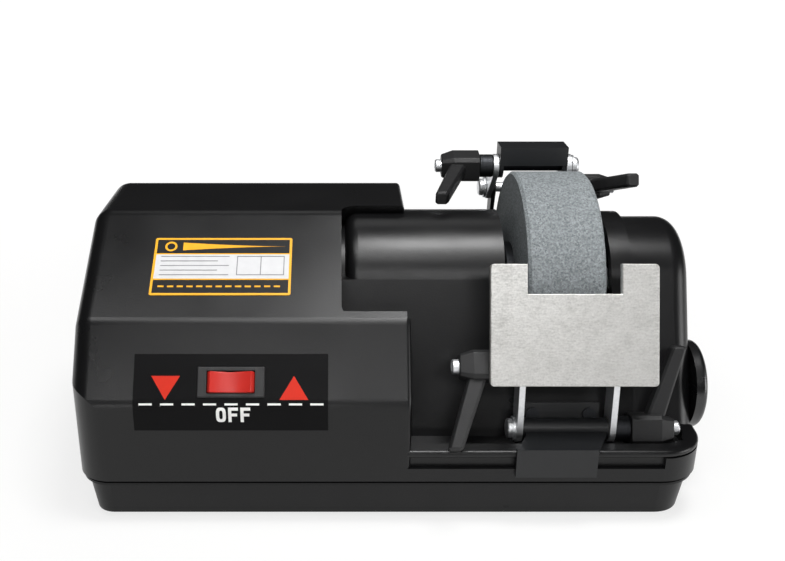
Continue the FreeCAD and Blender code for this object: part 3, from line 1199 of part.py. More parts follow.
def front_bracket():
    """Bent sheet hooked over the rail: flap, skewed top, rolled knuckle and a back plate on the wall."""
    low = from_axis(FRONT_PIVOT)
    x0, x1 = AX - FRONT_HALF, AX + FRONT_HALF
    front = Y_FRONT - SHEET
    bend = low[0] - STRAP_END - DROP_PLAY
    corners = [(x0, low[0]), (x1, low[0]), (x1, bend), (x1 + FLAP_SHIFT, front)]
    corners += [(x0 + FLAP_SHIFT, front), (x0, bend)]
    top = outline_wire(corners, [0.0] * len(corners), lambda x, y: Vector(x, y, RAIL_TOP))
    top = Part.Face(top).extrude(Vector(0, 0, SHEET))
    flap = box(x0 + FLAP_SHIFT, x1 + FLAP_SHIFT, front, Y_FRONT, FLAP_LOW, RAIL_TOP + SHEET)
    _, along, normal = wall_screw_frame()
    foot = WALL_FOOT
    high = (foot[0] + along[0] * BACK_PLATE_UP, foot[1] + along[1] * BACK_PLATE_UP)
    back = [foot, high, (high[0] + normal[0] * SHEET, high[1] + normal[1] * SHEET)]
    back.append((foot[0] + normal[0] * SHEET, foot[1] + normal[1] * SHEET))
    strip = box(x0, x1, low[0], foot[0], LEDGE_HEIGHT, low[1] - KNUCKLE_RADIUS + SHEET / 2)
    end = FRONT_INSIDE - FACE_PLAY
    knuckle = rod_x(KNUCKLE_RADIUS, AX - end, AX + end, *low)
    bracket = joined(prism_x(back, [0.0] * 4, x0, x1), strip, knuckle, top, flap)
    bore = rod_x(BOLT_RADIUS + PIN_PLAY, AX - end, AX + end, *low)
    under = box(x0, x1, Y_FRONT + RAIL_WIDTH, Y_BACK, BELOW, LEDGE_HEIGHT)
    return bracket.cut(wall_screw(MOUNT_SCREW_RADIUS + DROP_PLAY, 0.0, 2 * SHEET, 0.0) + [bore, under])


def front_bracket_screws():
    return group(*wall_screw(MOUNT_SCREW_RADIUS, MOUNT_SCREW_HEAD, SHEET + WALL, MOUNT_SCREW_HEAD_HEIGHT))


def rest_plate():
    """Notched steel rest with two lugs bent back to the tilt bolt."""
    top = from_axis(PLATE_TOP)
    tilt = from_axis(FRONT_TILT_PIVOT)
    plate = centred((PLATE_WIDTH, PLATE_LENGTH), -PLATE_THICK / 2, PLATE_THICK / 2)
    notch_foot = PLATE_LENGTH / 2 - NOTCH_DEPTH
    notch = box(-NOTCH_WIDTH / 2, NOTCH_WIDTH / 2, notch_foot, PLATE_LENGTH, -PLATE_THICK, PLATE_THICK)
    plate = corners_rounded(plate, PLATE_CORNER).cut(notch)
    rims = [e for e in plate.Edges if abs(abs(e.CenterOfMass.z) - PLATE_THICK / 2) < PICK]
    plate = plate.makeChamfer(PLATE_CHAMFER, rims)
    lean = math.radians(PLATE_LEAN)
    middle = (top[0] - math.sin(lean) * PLATE_LENGTH / 2, top[1] - math.cos(lean) * PLATE_LENGTH / 2)
    turned = Placement(Vector(AX, *middle), Rotation(X_DIRECTION, 90.0 - PLATE_LEAN)).toMatrix()
    plate = plate.transformed(turned)
    down = (-math.sin(lean), -math.cos(lean))
    face = (middle[0] + math.cos(lean) * PLATE_THICK / 4, middle[1] - math.sin(lean) * PLATE_THICK / 4)
    reach = (tilt[0] - face[0]) * down[0] + (tilt[1] - face[1]) * down[1]
    lug_top, lug_end = reach - STRAP_END, PLATE_LENGTH / 2 - PLATE_CORNER
    points = [(face[0] + down[0] * lug_top, face[1] + down[1] * lug_top)]
    points += [(face[0] + down[0] * lug_end, face[1] + down[1] * lug_end)]
    points += [(tilt[0], tilt[1] - STRAP_END), tilt]
    points += [(tilt[0] + STRAP_END * math.cos(lean) / 2, tilt[1] + STRAP_END / 2)]
    outside = FRONT_INSIDE - FACE_PLAY
    pieces = [plate]
    for x0 in (AX - outside, AX + outside - SHEET):
        pieces.append(prism_x(points, [0.0] * len(points), x0, x0 + SHEET))
        pieces.append(rod_x(STRAP_END, x0, x0 + SHEET, *tilt))
    return joined(*pieces).cut(rod_x(BOLT_RADIUS + PIN_PLAY, AX - outside, AX + outside, *tilt))


def rear_bracket():
    """Bent sheet on the rear shelf: a flap down the back and two ears for the pivot bolt."""
    low = from_axis(REAR_PIVOT)
    half = REAR_INSIDE + STRAP_THICK + 3 * MOUNT_SCREW_HEAD
    base, back = SHELF_HEIGHT, Y_BACK
    front = low[0] + SHEET / 2
    plate = box(REAR_X - half, REAR_X + half, front, back, base, base + SHEET)
    flap = box(REAR_X - half, REAR_X + half, back, back + SHEET, base - REAR_FLAP_DROP, base + SHEET)
    outside = REAR_INSIDE - FACE_PLAY
    pieces = [plate, flap]
    for x0 in (REAR_X - outside, REAR_X + outside - SHEET):
        points = [(front, base), (back, base), (low[0] + STRAP_END, low[1]), (low[0] - STRAP_END, low[1])]
        pieces.append(prism_x(points, [0.0] * 4, x0, x0 + SHEET))
        pieces.append(rod_x(STRAP_END, x0, x0 + SHEET, *low))
    bore = rod_x(BOLT_RADIUS + PIN_PLAY, REAR_X - outside, REAR_X + outside, *low)
    return joined(*pieces).cut([bore] + shelf_screw(MOUNT_SCREW_RADIUS + DROP_PLAY, 0.0, 2 * SHEET, 0.0))


def rear_bracket_screws():
    return group(*shelf_screw(MOUNT_SCREW_RADIUS, MOUNT_SCREW_HEAD, SHEET + WALL, MOUNT_SCREW_HEAD_HEIGHT))


def rear_guide():
    """Angle guide over the stone: a front face, a top flange and two lugs on the tilt bolt."""
    edge = from_axis(GUIDE_FACE)
    tilt = from_axis(REAR_TILT_PIVOT)
    outside = REAR_INSIDE - FACE_PLAY
    x0, x1 = REAR_X - outside, REAR_X + outside
    face = box(x0, x1, edge[0], edge[0] + SHEET, edge[1] - GUIDE_DROP, edge[1])
    flange_top = box(x0, x1, edge[0], edge[0] + GUIDE_FLANGE, edge[1] - SHEET, edge[1])
    pieces = [face, flange_top]
    for lug in (x0, x1 - SHEET):
        points = [(edge[0], edge[1] - GUIDE_DROP), edge, (edge[0] + GUIDE_FLANGE, edge[1])]
        points += [(tilt[0] + STRAP_END, tilt[1]), tilt]
        pieces.append(prism_x(points, [0.0] * len(points), lug, lug + SHEET))
        pieces.append(rod_x(STRAP_END, lug, lug + SHEET, *tilt))
    return joined(*pieces).cut(rod_x(BOLT_RADIUS + PIN_PLAY, x0, x1, *tilt))


def build():
    """Every node's name and shape."""
    front_low, front_high = from_axis(FRONT_PIVOT), from_axis(FRONT_TILT_PIVOT)
    rear_low, rear_high = from_axis(REAR_PIVOT), from_axis(REAR_TILT_PIVOT)
    front, rear = (AX, FRONT_INSIDE), (REAR_X, REAR_INSIDE)
    nodes = {
        "base_pan": base_pan(),
        "rubber_feet": rubber_feet(),
        "case_screws": case_screws(),
        "upper_housing": upper_housing(),
        "side_cover": side_cover(),
        "side_knob": side_knob(),
        "knob_stud": knob_stud(),
        "control_label": control_label(),
        "nameplate": nameplate(),
        "switch_frame": switch_frame(),
        "switch_rocker": switch_rocker(),
        "cord_gland": cord_gland(),
        "motor_lead": motor_lead(),
        "motor_can": motor_can(),
        "motor_bell": motor_bell(),
        "motor_bearings": motor_bearings(),
        "motor_stator": motor_stator(),
        "motor_rotor": motor_rotor(),
        "motor_shaft": motor_shaft(),
        "motor_cradle": motor_cradle(),
        "cradle_screws": cradle_screws(),
        "run_capacitor": run_capacitor(),
        "capacitor_clip": capacitor_clip(),
        "pinion": pinion(),
        "drive_gear": drive_gear(),
        "gear_key": gear_key(),
        "bearing_bracket": bearing_bracket(),
        "bracket_screws": bracket_screws(),
        "shaft_bushes": shaft_bushes(),
        "shaft_seal": shaft_seal(),
        "wheel_shaft": wheel_shaft(),
        "inner_flange": flange(-1),
        "grinding_stone": grinding_stone(),
        "outer_flange": flange(1),
        "wheel_nut": wheel_nut(),
        "water_tray": water_tray(),
        "front_bracket": front_bracket(),
        "front_bracket_screws": front_bracket_screws(),
        "front_straps": strap_pair(front_low, front_high, *front),
        "front_pivot_bolt": clamp_bolt(front_low, 1, *front),
        "front_tilt_bolt": clamp_bolt(front_high, -1, *front),
        "rest_plate": rest_plate(),
        "rear_bracket": rear_bracket(),
        "rear_bracket_screws": rear_bracket_screws(),
        "rear_straps": strap_pair(rear_low, rear_high, *rear),
        "rear_pivot_bolt": clamp_bolt(rear_low, 1, *rear),
        "rear_tilt_bolt": clamp_bolt(rear_high, -1, *rear),
        "rear_guide": rear_guide(),
    }
    levers = {
        "front_low_lever": (front_low, 1, FRONT_LOW_LEVER, *front),
        "front_high_lever": (front_high, -1, FRONT_HIGH_LEVER, *front),
        "rear_low_lever": (rear_low, 1, REAR_LOW_LEVER, *rear),
        "rear_high_lever": (rear_high, -1, REAR_HIGH_LEVER, *rear),
    }
    for name, settings in levers.items():
        nodes[name], nodes[name + "_insert"] = lever_parts(*settings)
    return nodes


os.makedirs("parts", exist_ok=True)
for node, shape in build().items():
    if not shape.isValid():
        print("not valid:", node)
    print(node, len(shape.Solids), round(shape.Volume, 1))
    shape.exportStep("parts/" + node + ".step")
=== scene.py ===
import math

import bmesh
import bpy
import numpy as np
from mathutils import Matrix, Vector


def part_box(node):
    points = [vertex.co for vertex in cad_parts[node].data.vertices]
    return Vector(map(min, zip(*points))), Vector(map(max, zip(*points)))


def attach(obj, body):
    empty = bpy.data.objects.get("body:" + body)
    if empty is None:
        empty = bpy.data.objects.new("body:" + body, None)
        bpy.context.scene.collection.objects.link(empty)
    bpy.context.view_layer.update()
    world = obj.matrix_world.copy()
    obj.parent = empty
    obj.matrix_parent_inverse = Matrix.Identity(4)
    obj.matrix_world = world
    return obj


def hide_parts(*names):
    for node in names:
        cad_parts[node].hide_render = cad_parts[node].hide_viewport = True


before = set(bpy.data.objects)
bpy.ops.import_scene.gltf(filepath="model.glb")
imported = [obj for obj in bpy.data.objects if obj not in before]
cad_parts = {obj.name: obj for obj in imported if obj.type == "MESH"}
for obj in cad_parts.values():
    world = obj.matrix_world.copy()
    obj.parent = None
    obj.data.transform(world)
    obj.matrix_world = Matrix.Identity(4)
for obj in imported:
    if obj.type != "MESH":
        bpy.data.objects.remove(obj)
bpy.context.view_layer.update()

# Base pan: the lower half of the case, a tray with sloping sides that carries the motor and the water.
# Injection moulded ABS, black, with a fine spark-eroded grain from the tool that breaks up its shine.
# Screwed up into the housing.

MM = 0.001


def linear(colour):
    """Linear RGBA of an sRGB hex colour: a channel up to 0.04045 is divided by 12.92, a brighter one is
    (c + 0.055) / 1.055 raised to the power 2.4."""
    srgb = np.array([int(colour[i:i + 2], 16) for i in (1, 3, 5)]) / 255
    low = srgb / 12.92
    high = ((srgb + 0.055) / 1.055) ** 2.4
    return (*np.where(srgb <= 0.04045, low, high).tolist(), 1.0)


def add(nodes, kind, feeds=None, **settings):
    """One shader node. Settings are its own fields; feeds are values for its sockets, or sockets to link."""
    node = nodes.new(kind)
    for name, value in settings.items():
        setattr(node, name, value)
    for name, value in (feeds or {}).items():
        if isinstance(value, bpy.types.NodeSocket):
            nodes.id_data.links.new(value, node.inputs[name])
        else:
            node.inputs[name].default_value = value
    return node


def blank(name):
    """An empty node material, with its nodes."""
    material = bpy.data.materials.new(name)
    material.use_nodes = True
    material.node_tree.nodes.clear()
    return material, material.node_tree.nodes


# Sockets of a colour mix, the part of a noise's range that holds nearly all of it, and how far handling
# shifts the roughness of plastic either way.
MIX_A, MIX_B, MIX_OUT = 6, 7, 2
NOISE_LOW, NOISE_HIGH = 0.3, 0.7
HANDLED = 0.05
PLASTIC_IOR = 1.53


def moulded(name, colour, rubbed, grain, depth, roughness, specular, cloud=35.0):
    """Moulded plastic or rubber. A noise as fine as the tool's grain, in mm, dents the surface by depth. A
    broad one, cloud mm across, shifts the colour towards the rubbed one, and the roughness with it, as hands
    do."""
    material, nodes = blank(name)
    place = add(nodes, "ShaderNodeTexCoord").outputs["Object"]
    pits = add(nodes, "ShaderNodeTexNoise", {"Vector": place, "Scale": 1 / (grain * MM), "Detail": 3.0})
    hands = add(nodes, "ShaderNodeTexNoise", {"Vector": place, "Scale": 1 / (cloud * MM), "Detail": 4.0})
    tint = add(nodes, "ShaderNodeMix", {
        0: hands.outputs["Fac"], MIX_A: linear(colour), MIX_B: linear(rubbed)}, data_type="RGBA")
    gloss = add(nodes, "ShaderNodeMapRange", {
        "Value": hands.outputs["Fac"], "From Min": NOISE_LOW, "From Max": NOISE_HIGH,
        "To Min": roughness + HANDLED, "To Max": roughness - HANDLED})
    dent = add(nodes, "ShaderNodeBump", {"Height": pits.outputs["Fac"], "Distance": depth * MM})
    skin = add(nodes, "ShaderNodeBsdfPrincipled", {
        "Base Color": tint.outputs[MIX_OUT], "Roughness": gloss.outputs["Result"], "IOR": PLASTIC_IOR,
        "Specular IOR Level": specular, "Normal": dent.outputs["Normal"]})
    add(nodes, "ShaderNodeOutputMaterial", {"Surface": skin.outputs["BSDF"]})
    return material


def finish_nodes(material, *names):
    """Puts a material on CAD pieces that keep their own mesh."""
    for name in names:
        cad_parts[name].material_slots[0].material = material


# The real grain is about 0.2 mm; 0.9 mm is as fine as shows at this size.
base_abs = moulded("black ABS, grained, base", "#0d0d0e", "#131314", grain=0.9, depth=0.045,
                   roughness=0.38, specular=0.22)
finish_nodes(base_abs, "base_pan")

# Rubber feet: four moulded buttons pushed through holes in the base pan from below.
# Black nitrile rubber, matt and slightly dusty. The shaft seal and the cord gland are moulded from it too.

nitrile = moulded("black nitrile rubber, matt", "#141414", "#222120", grain=0.6, depth=0.02,
                  roughness=0.72, specular=0.3, cloud=12.0)
finish_nodes(nitrile, "rubber_feet", "shaft_seal", "cord_gland")

# Case screws, cradle screws and bracket screws: pan heads driven up or down through the base floor.
# Steel wire, cold headed and oiled, which leaves it a darkish grey; turned parts inside the case share it.

STREAKED = 0.08


def metal(name, colour, stained, streak, roughness, depth, shank=None):
    """Bare or plated metal. A noise stretched to the streak's three lengths, in mm, lightens and smooths it
    as turning, grinding or rolling does, and dents it by depth. A shank, given as its colour, middle and half
    length along X, is left dark between the plated ends."""
    material, nodes = blank(name)
    place = add(nodes, "ShaderNodeTexCoord").outputs["Object"]
    scaled = add(nodes, "ShaderNodeMapping", {
        "Vector": place, "Scale": [1 / (length * MM) for length in streak]})
    lines = add(nodes, "ShaderNodeTexNoise", {
        "Vector": scaled.outputs["Vector"], "Scale": 1.0, "Detail": 4.0})
    tint = add(nodes, "ShaderNodeMix", {
        0: lines.outputs["Fac"], MIX_A: linear(stained), MIX_B: linear(colour)}, data_type="RGBA")
    gloss = add(nodes, "ShaderNodeMapRange", {
        "Value": lines.outputs["Fac"], "From Min": NOISE_LOW, "From Max": NOISE_HIGH,
        "To Min": roughness + STREAKED, "To Max": roughness - STREAKED})
    dent = add(nodes, "ShaderNodeBump", {"Height": lines.outputs["Fac"], "Distance": depth * MM})
    if shank:
        dark, middle, half = shank
        across = add(nodes, "ShaderNodeSeparateXYZ", {0: place}).outputs["X"]
        inside = add(nodes, "ShaderNodeMath", {0: across, 1: middle, 2: half}, operation="COMPARE")
        tint = add(nodes, "ShaderNodeMix", {
            0: inside.outputs[0], MIX_A: tint.outputs[MIX_OUT], MIX_B: linear(dark)}, data_type="RGBA")
    skin = add(nodes, "ShaderNodeBsdfPrincipled", {
        "Base Color": tint.outputs[MIX_OUT], "Metallic": 1.0, "Roughness": gloss.outputs["Result"],
        "Normal": dent.outputs["Normal"]})
    add(nodes, "ShaderNodeOutputMaterial", {"Surface": skin.outputs["BSDF"]})
    return material


turned_steel = metal("turned steel, oiled", "#8f9094", "#6d6e72", streak=(0.4, 12, 12),
                     roughness=0.34, depth=0.01)
finish_nodes(turned_steel, "case_screws", "cradle_screws", "bracket_screws", "knob_stud", "wheel_shaft",
             "gear_key", "pinion", "motor_shaft", "motor_bearings")

# Motor: a drawn shell with an end bell, a winding pack and a rotor, lying in a cast cradle on the base floor.
# Dull grey phosphated steel shell, glossy varnished copper windings, a rotor streaked by its stacked sheets
# and a rough sand cast cradle.

shell_steel = metal("phosphated sheet steel", "#77797c", "#5d5f63", streak=(9, 9, 9),
                    roughness=0.48, depth=0.01)
finish_nodes(shell_steel, "motor_can", "motor_bell")
laminations = metal("stacked electrical steel", "#6c6d70", "#3f4043", streak=(0.8, 30, 30),
                    roughness=0.42, depth=0.05)
finish_nodes(laminations, "motor_rotor")
windings = metal("varnished copper windings", "#b5683a", "#74381d", streak=(14, 0.9, 0.9),
                 roughness=0.3, depth=0.12)
finish_nodes(windings, "motor_stator")
cast_grey = moulded("sand cast zinc alloy", "#4d4f52", "#626467", grain=1.4, depth=0.12,
                    roughness=0.6, specular=0.5, cloud=9.0)
finish_nodes(cast_grey, "motor_cradle", "bearing_bracket")

# Run capacitor, strapped to the base by its clip, and the lead from the switch to the motor.
# An ivory moulded can and a flexible blue PVC sleeve, both with the soft shine of plain plastic.

can_plastic = moulded("ivory polypropylene", "#d8d4c6", "#c9c4b4", grain=1.2, depth=0.02,
                      roughness=0.4, specular=0.5)
finish_nodes(can_plastic, "run_capacitor")
sleeve_pvc = moulded("blue PVC sleeve", "#23306e", "#2c3a7c", grain=0.8, depth=0.02,
                     roughness=0.45, specular=0.5, cloud=10.0)
finish_nodes(sleeve_pvc, "motor_lead")

# Gear, bushes, flanges and nut on the wheel shaft.
# A moulded nylon gear, porous sintered bronze bushes, flanges in a dark grey that is painted shade for the
# shadowed gap beside the stone, and a hexagon nut in bright zinc plate. The capacitor's clip is plated like
# the nut.

gear_nylon = moulded("natural nylon", "#cdc6b0", "#bfb79f", grain=0.9, depth=0.02,
                     roughness=0.42, specular=0.5)
finish_nodes(gear_nylon, "drive_gear")
sintered_bronze = metal("sintered bronze", "#a87b48", "#86602f", streak=(0.7, 0.7, 0.7),
                        roughness=0.5, depth=0.03)
finish_nodes(sintered_bronze, "shaft_bushes")
# The flanges' dark grey is painted shade: it stands for the shadow in the gap between the cover and the
# stone.
shade_dark_flange_steel = metal("flange steel, dark grey as painted shade", "#2e2f31", "#232426", streak=(6, 0.5, 0.5),
                     roughness=0.5, depth=0.01)
finish_nodes(shade_dark_flange_steel, "inner_flange", "outer_flange")
PLATED, PLATED_DULL, PLATED_SPANGLE = "#ecedee", "#d2d4d7", (1.6, 1.6, 1.6)
zinc_plate = metal("bright zinc plate", PLATED, PLATED_DULL, streak=PLATED_SPANGLE,
                   roughness=0.42, depth=0.004)
finish_nodes(zinc_plate, "wheel_nut", "capacitor_clip")

# Water tray: a loose trough under the stone.
# Vacuum formed dark grey polystyrene, satin, clouded paler where hard water has dried.

tray_sheet = moulded("dark grey polystyrene sheet", "#2a2b2d", "#4a4b4c", grain=1.5, depth=0.02,
                     roughness=0.42, specular=0.5, cloud=18.0)
finish_nodes(tray_sheet, "water_tray")

# Upper housing and side cover: the motor block, the round cover left of the stone and the removable one right
# of it. The same moulded ABS as the base, from a tool polished a little more, so it shines more.

case_abs = moulded("black ABS, satin, case", "#0a0a0b", "#0f0f10", grain=0.9, depth=0.045,
                   roughness=0.32, specular=0.3)
finish_nodes(case_abs, "upper_housing", "side_cover")

# Side knob: a smooth dished wheel that locks the side cover by its stud.
# Black phenolic moulding, buffed to a gloss.

phenolic = moulded("black phenolic, buffed", "#0b0b0c", "#101011", grain=5.0, depth=0.01,
                   roughness=0.28, specular=0.65, cloud=14.0)
finish_nodes(phenolic, "side_knob")

# Control label: a film bent over the lower edge of the control panel, with the switch standing through it.
# Screen printed polycarbonate, matt black and hardly shining, with white dashes and OFF and two red
# arrowheads in raised ink.

label_film = moulded("black polycarbonate film, matt", "#080809", "#0b0b0c", grain=1.2, depth=0.006,
                     roughness=0.42, specular=0.08, cloud=22.0)
finish_nodes(label_film, "control_label")

PANEL_FOOT = 70.0 * MM
PANEL_RISE, PANEL_RUN = 35.0, 24.5
PANEL_ANGLE = math.atan2(PANEL_RISE, PANEL_RUN)
CREASE = 12.0 * MM
FILM = 0.4 * MM
INK = 0.06 * MM
BEND = math.pi / 2 - PANEL_ANGLE

label_low, label_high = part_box("control_label")
crease_radius = CREASE + FILM
crease_y = label_low.y + crease_radius
crease_z = PANEL_FOOT - CREASE * math.tan(BEND / 2)


def on_label(across, along, lift=INK):
    """A point on the label. Along counts from the foot of the crease: below zero it runs straight down the
    front face, then round the arc of the crease, and past the arc straight up the panel."""
    angle = np.clip(along / crease_radius, 0.0, BEND)
    past = along - angle * crease_radius
    radius = crease_radius + lift
    y = crease_y - radius * np.cos(angle) + np.maximum(past, 0) * math.cos(PANEL_ANGLE)
    z = crease_z + radius * np.sin(angle) + np.where(past > 0, past * math.sin(PANEL_ANGLE), past)
    return np.stack(np.broadcast_arrays(across, y, z), axis=-1)


def up_panel(distance):
    """Along value of a height on the panel that was measured from the corner the crease rounds off."""
    return crease_radius * BEND + distance - CREASE * math.tan(BEND / 2)


SAME_POINT = 1e-6


def piece(name, patches, material, body):
    """One mesh from grids of points, shape (rows, columns, 3). Each cell of a grid is a quad, coinciding
    points are merged and the faces are turned outwards."""
    corners, faces, start = [], [], 0
    for grid in patches:
        rows, columns = grid.shape[:2]
        index = start + np.arange(rows * columns).reshape(rows, columns)
        quads = [index[:-1, :-1], index[:-1, 1:], index[1:, 1:], index[1:, :-1]]
        faces.append(np.stack(quads, axis=-1).reshape(-1, 4))
        corners.append(grid.reshape(-1, 3))
        start += rows * columns
    mesh = bpy.data.meshes.new(name)
    mesh.from_pydata(np.concatenate(corners), [], np.concatenate(faces))
    shape = bmesh.new()
    shape.from_mesh(mesh)
    bmesh.ops.remove_doubles(shape, verts=shape.verts, dist=SAME_POINT)
    bmesh.ops.dissolve_degenerate(shape, edges=shape.edges, dist=SAME_POINT)
    bmesh.ops.recalc_face_normals(shape, faces=shape.faces)
    shape.to_mesh(mesh)
    shape.free()
    mesh.materials.append(material)
    made = bpy.data.objects.new(name, mesh)
    bpy.context.scene.collection.objects.link(made)
    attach(made, body)
    return made


def ink_film(made):
    """Gives a printed sheet the thickness of its ink, down to the film under it."""
    thick = made.modifiers.new("ink", "SOLIDIFY")
    thick.thickness = INK
    thick.offset = -1.0


def bar(left, right, low, high, steps=6):
    """Rectangle in (across, along), split along so that it can bend."""
    across = np.linspace(left, right, 2)[None, :]
    along = np.linspace(low, high, steps)[:, None]
    return np.broadcast_arrays(across, along)


def ring(centre, half_width, half_height, stroke, power, steps=64):
    """Closed band between two superellipses, |x/a|^n + |y/b|^n = 1, the inner one smaller by the stroke."""
    turn = np.linspace(0, 2 * math.pi, steps + 1)[None, :]
    cos, sin = np.cos(turn), np.sin(turn)
    inset = np.array([[0.0], [stroke]])
    across = centre[0] + (half_width - inset) * np.sign(cos) * np.abs(cos) ** (2 / power)
    along = centre[1] + (half_height - inset) * np.sign(sin) * np.abs(sin) ** (2 / power)
    return across, along


def printed(name, colour, speck):
    """Screen ink: even colour, a little uneven where the mesh of the screen left it thin."""
    return moulded(name, colour, speck, grain=0.7, depth=0.004, roughness=0.5, specular=0.2, cloud=4.0)


white_ink = printed("white screen ink", "#f2f2f0", "#dededc")
red_ink = printed("red screen ink", "#cb2a14", "#bd230f")

ARROW_WIDTH = 14.3 * MM
ARROW_FOOT, ARROW_TOP = up_panel(2.8 * MM), up_panel(14.7 * MM)
ARROW_LEFT, ARROW_RIGHT = label_low.x + 15.9 * MM, label_high.x - 16.9 * MM


def arrow(centre, foot, tip):
    """Triangle whose width falls evenly from its foot to nothing at its tip."""
    rise = np.linspace(0, 1, 7)[:, None]
    side = np.linspace(-0.5, 0.5, 3)[None, :]
    return centre + side * ARROW_WIDTH * (1 - rise), foot + rise * (tip - foot) + 0 * side


arrows = [arrow(ARROW_LEFT, ARROW_TOP, ARROW_FOOT), arrow(ARROW_RIGHT, ARROW_FOOT, ARROW_TOP)]
ink_film(piece("label_arrowheads", [on_label(*a) for a in arrows], red_ink, "housing"))

WORD_FOOT, WORD_TOP, WORD_RIGHT_OF_MIDDLE = -5.2 * MM, 2.8 * MM, 1.3 * MM
LETTER, SPACE, STROKE, SQUARENESS = 4.9 * MM, 1.15 * MM, 1.6 * MM, 3.2
MIDDLE_ARM_SHORTER = 0.5 * MM
word_middle = (label_low.x + label_high.x) / 2 + WORD_RIGHT_OF_MIDDLE
word_left = word_middle - 1.5 * LETTER - SPACE
half_up = (WORD_FOOT + WORD_TOP) / 2
letter_o = ring((word_left + LETTER / 2, half_up), LETTER / 2, (WORD_TOP - WORD_FOOT) / 2, STROKE, SQUARENESS)
word = [letter_o]
for left in (word_left + LETTER + SPACE, word_left + 2 * (LETTER + SPACE)):
    right = left + LETTER
    word.append(bar(left, left + STROKE, WORD_FOOT, WORD_TOP))
    word.append(bar(left + STROKE, right, WORD_TOP - STROKE, WORD_TOP))
    word.append(bar(left + STROKE, right - MIDDLE_ARM_SHORTER, half_up - STROKE / 2, half_up + STROKE / 2))
DASH, DASH_STEP, DASH_HALF, DASH_ALONG, DASH_INSET = 6.5 * MM, 10.6 * MM, 0.5 * MM, 4.4 * MM, 3.0 * MM
dash_starts = np.arange(label_low.x + DASH_INSET, label_high.x - DASH, DASH_STEP)
dashes = [bar(x, x + DASH, DASH_ALONG - DASH_HALF, DASH_ALONG + DASH_HALF, steps=3) for x in dash_starts]
white_print = [on_label(*mark) for mark in word + dashes]
ink_film(piece("label_white_print", white_print, white_ink, "housing"))

# Rocker switch: a snap-in frame in the panel with a red rocker that dips to its middle.
# Frame of black nylon, lightly grained; rocker of red polycarbonate, polished, pinned in the frame to rock.

frame_nylon = moulded("black nylon, fine grain", "#19191a", "#232324", grain=0.7, depth=0.01,
                      roughness=0.42, specular=0.35, cloud=8.0)
finish_nodes(frame_nylon, "switch_frame")
rocker_red = moulded("red polycarbonate, polished", "#b32019", "#bd2a21", grain=2.0, depth=0.004,
                     roughness=0.38, specular=0.4, cloud=9.0)

rocker_low, rocker_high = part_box("switch_rocker")
ROCKER_X = (rocker_low.x + rocker_high.x) / 2
ROCKER_UP, ROCKER_HALF, ROCKER_AXIS, ROCKER_REACH = 11.5 * MM, 5.3 * MM, -1.6 * MM, 12.1 * MM
ROCKER_BASE, ROCKER_END, ROCKER_DIP, ROCKER_WAIST = -3.6 * MM, 4.9 * MM, 2.2 * MM, 0.9 * MM
ROCKER_EDGE = 0.5 * MM
ROCKER_SHARP = 40.0


def on_panel(across, up, out):
    """A point on the control panel: across along X, up along the panel from its foot, out square to it."""
    y = label_low.y + FILM + up * math.cos(PANEL_ANGLE) - out * math.sin(PANEL_ANGLE)
    z = PANEL_FOOT + up * math.sin(PANEL_ANGLE) + out * math.cos(PANEL_ANGLE)
    return np.stack(np.broadcast_arrays(across, y, z), axis=-1)


def rocker_skin():
    """Side view of the rocker carried across its width. The two ends are arcs about the axis, and the face
    between them is a parabola that dips in the middle. The upper side draws in towards the middle of the
    face, and the last sections shrink a little for the rounded edge before they close."""
    rise = np.linspace(ROCKER_BASE, ROCKER_END - ROCKER_EDGE, 10)
    end = np.sqrt(ROCKER_REACH ** 2 - (rise - ROCKER_AXIS) ** 2)
    face = np.linspace(end[-1] - ROCKER_EDGE, -end[-1] + ROCKER_EDGE, 25)
    dish = ROCKER_END - ROCKER_DIP * (1 - (face / face[0]) ** 2)
    u = np.concatenate([end, face, -end[::-1], end[:1]])[None, :]
    w = np.concatenate([rise, dish, rise[::-1], rise[:1]])[None, :]
    station = np.array([-1, -1, -0.97, -0.9, -0.45, 0, 0.45, 0.9, 0.97, 1, 1])[:, None]
    shrink = np.array([0, 0.94, 0.98, 1, 1, 1, 1, 1, 0.98, 0.94, 0])[:, None]
    height = np.clip((w - ROCKER_AXIS) / (ROCKER_END - ROCKER_AXIS), 0, 1)
    waist = ROCKER_WAIST * height * (1 - (u / ROCKER_REACH) ** 2) * (station > 0)
    return on_panel(ROCKER_X + u * shrink, ROCKER_UP + station * (ROCKER_HALF - waist), w * shrink)


rocker = piece("switch_rocker_face", [rocker_skin()], rocker_red, "rocker")
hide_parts("switch_rocker")
rocker.data.polygons.foreach_set("use_smooth", np.ones(len(rocker.data.polygons), dtype=bool))
rocker.data.set_sharp_from_angle(angle=math.radians(ROCKER_SHARP))

# Nameplate: a printed foil stuck on the slope above the panel.
# Aluminium foil with an amber border, black and white fields, a plain ring and ruled lines, in flat ink.

amber_foil = moulded("amber printed foil", "#dd9f10", "#e8ae22", grain=1.0, depth=0.004,
                     roughness=0.4, specular=0.3, cloud=12.0)
finish_nodes(amber_foil, "nameplate")

SLOPE_RISE, SLOPE_RUN = 38.0, 61.0
SLOPE_ANGLE = math.atan2(SLOPE_RISE, SLOPE_RUN)
plate_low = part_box("nameplate")[0]
plate_foot = plate_low.y + FILM * math.sin(SLOPE_ANGLE)


def on_plate(across, up, lift=INK):
    """A point on the plate, counted from its lower left corner: across along X, up along the slope, lifted
    square to the slope from the plate's face."""
    out = FILM + lift
    y = plate_foot + up * math.cos(SLOPE_ANGLE) - out * math.sin(SLOPE_ANGLE)
    z = plate_low.z + up * math.sin(SLOPE_ANGLE) + out * math.cos(SLOPE_ANGLE)
    return np.stack(np.broadcast_arrays(plate_low.x + across, y, z), axis=-1)


def plate_print(name, material, shapes, lift=INK):
    """Prints shapes given in millimetres on the plate."""
    patches = [on_plate(across * MM, up * MM, lift) for across, up in shapes]
    ink_film(piece(name, patches, material, "housing"))


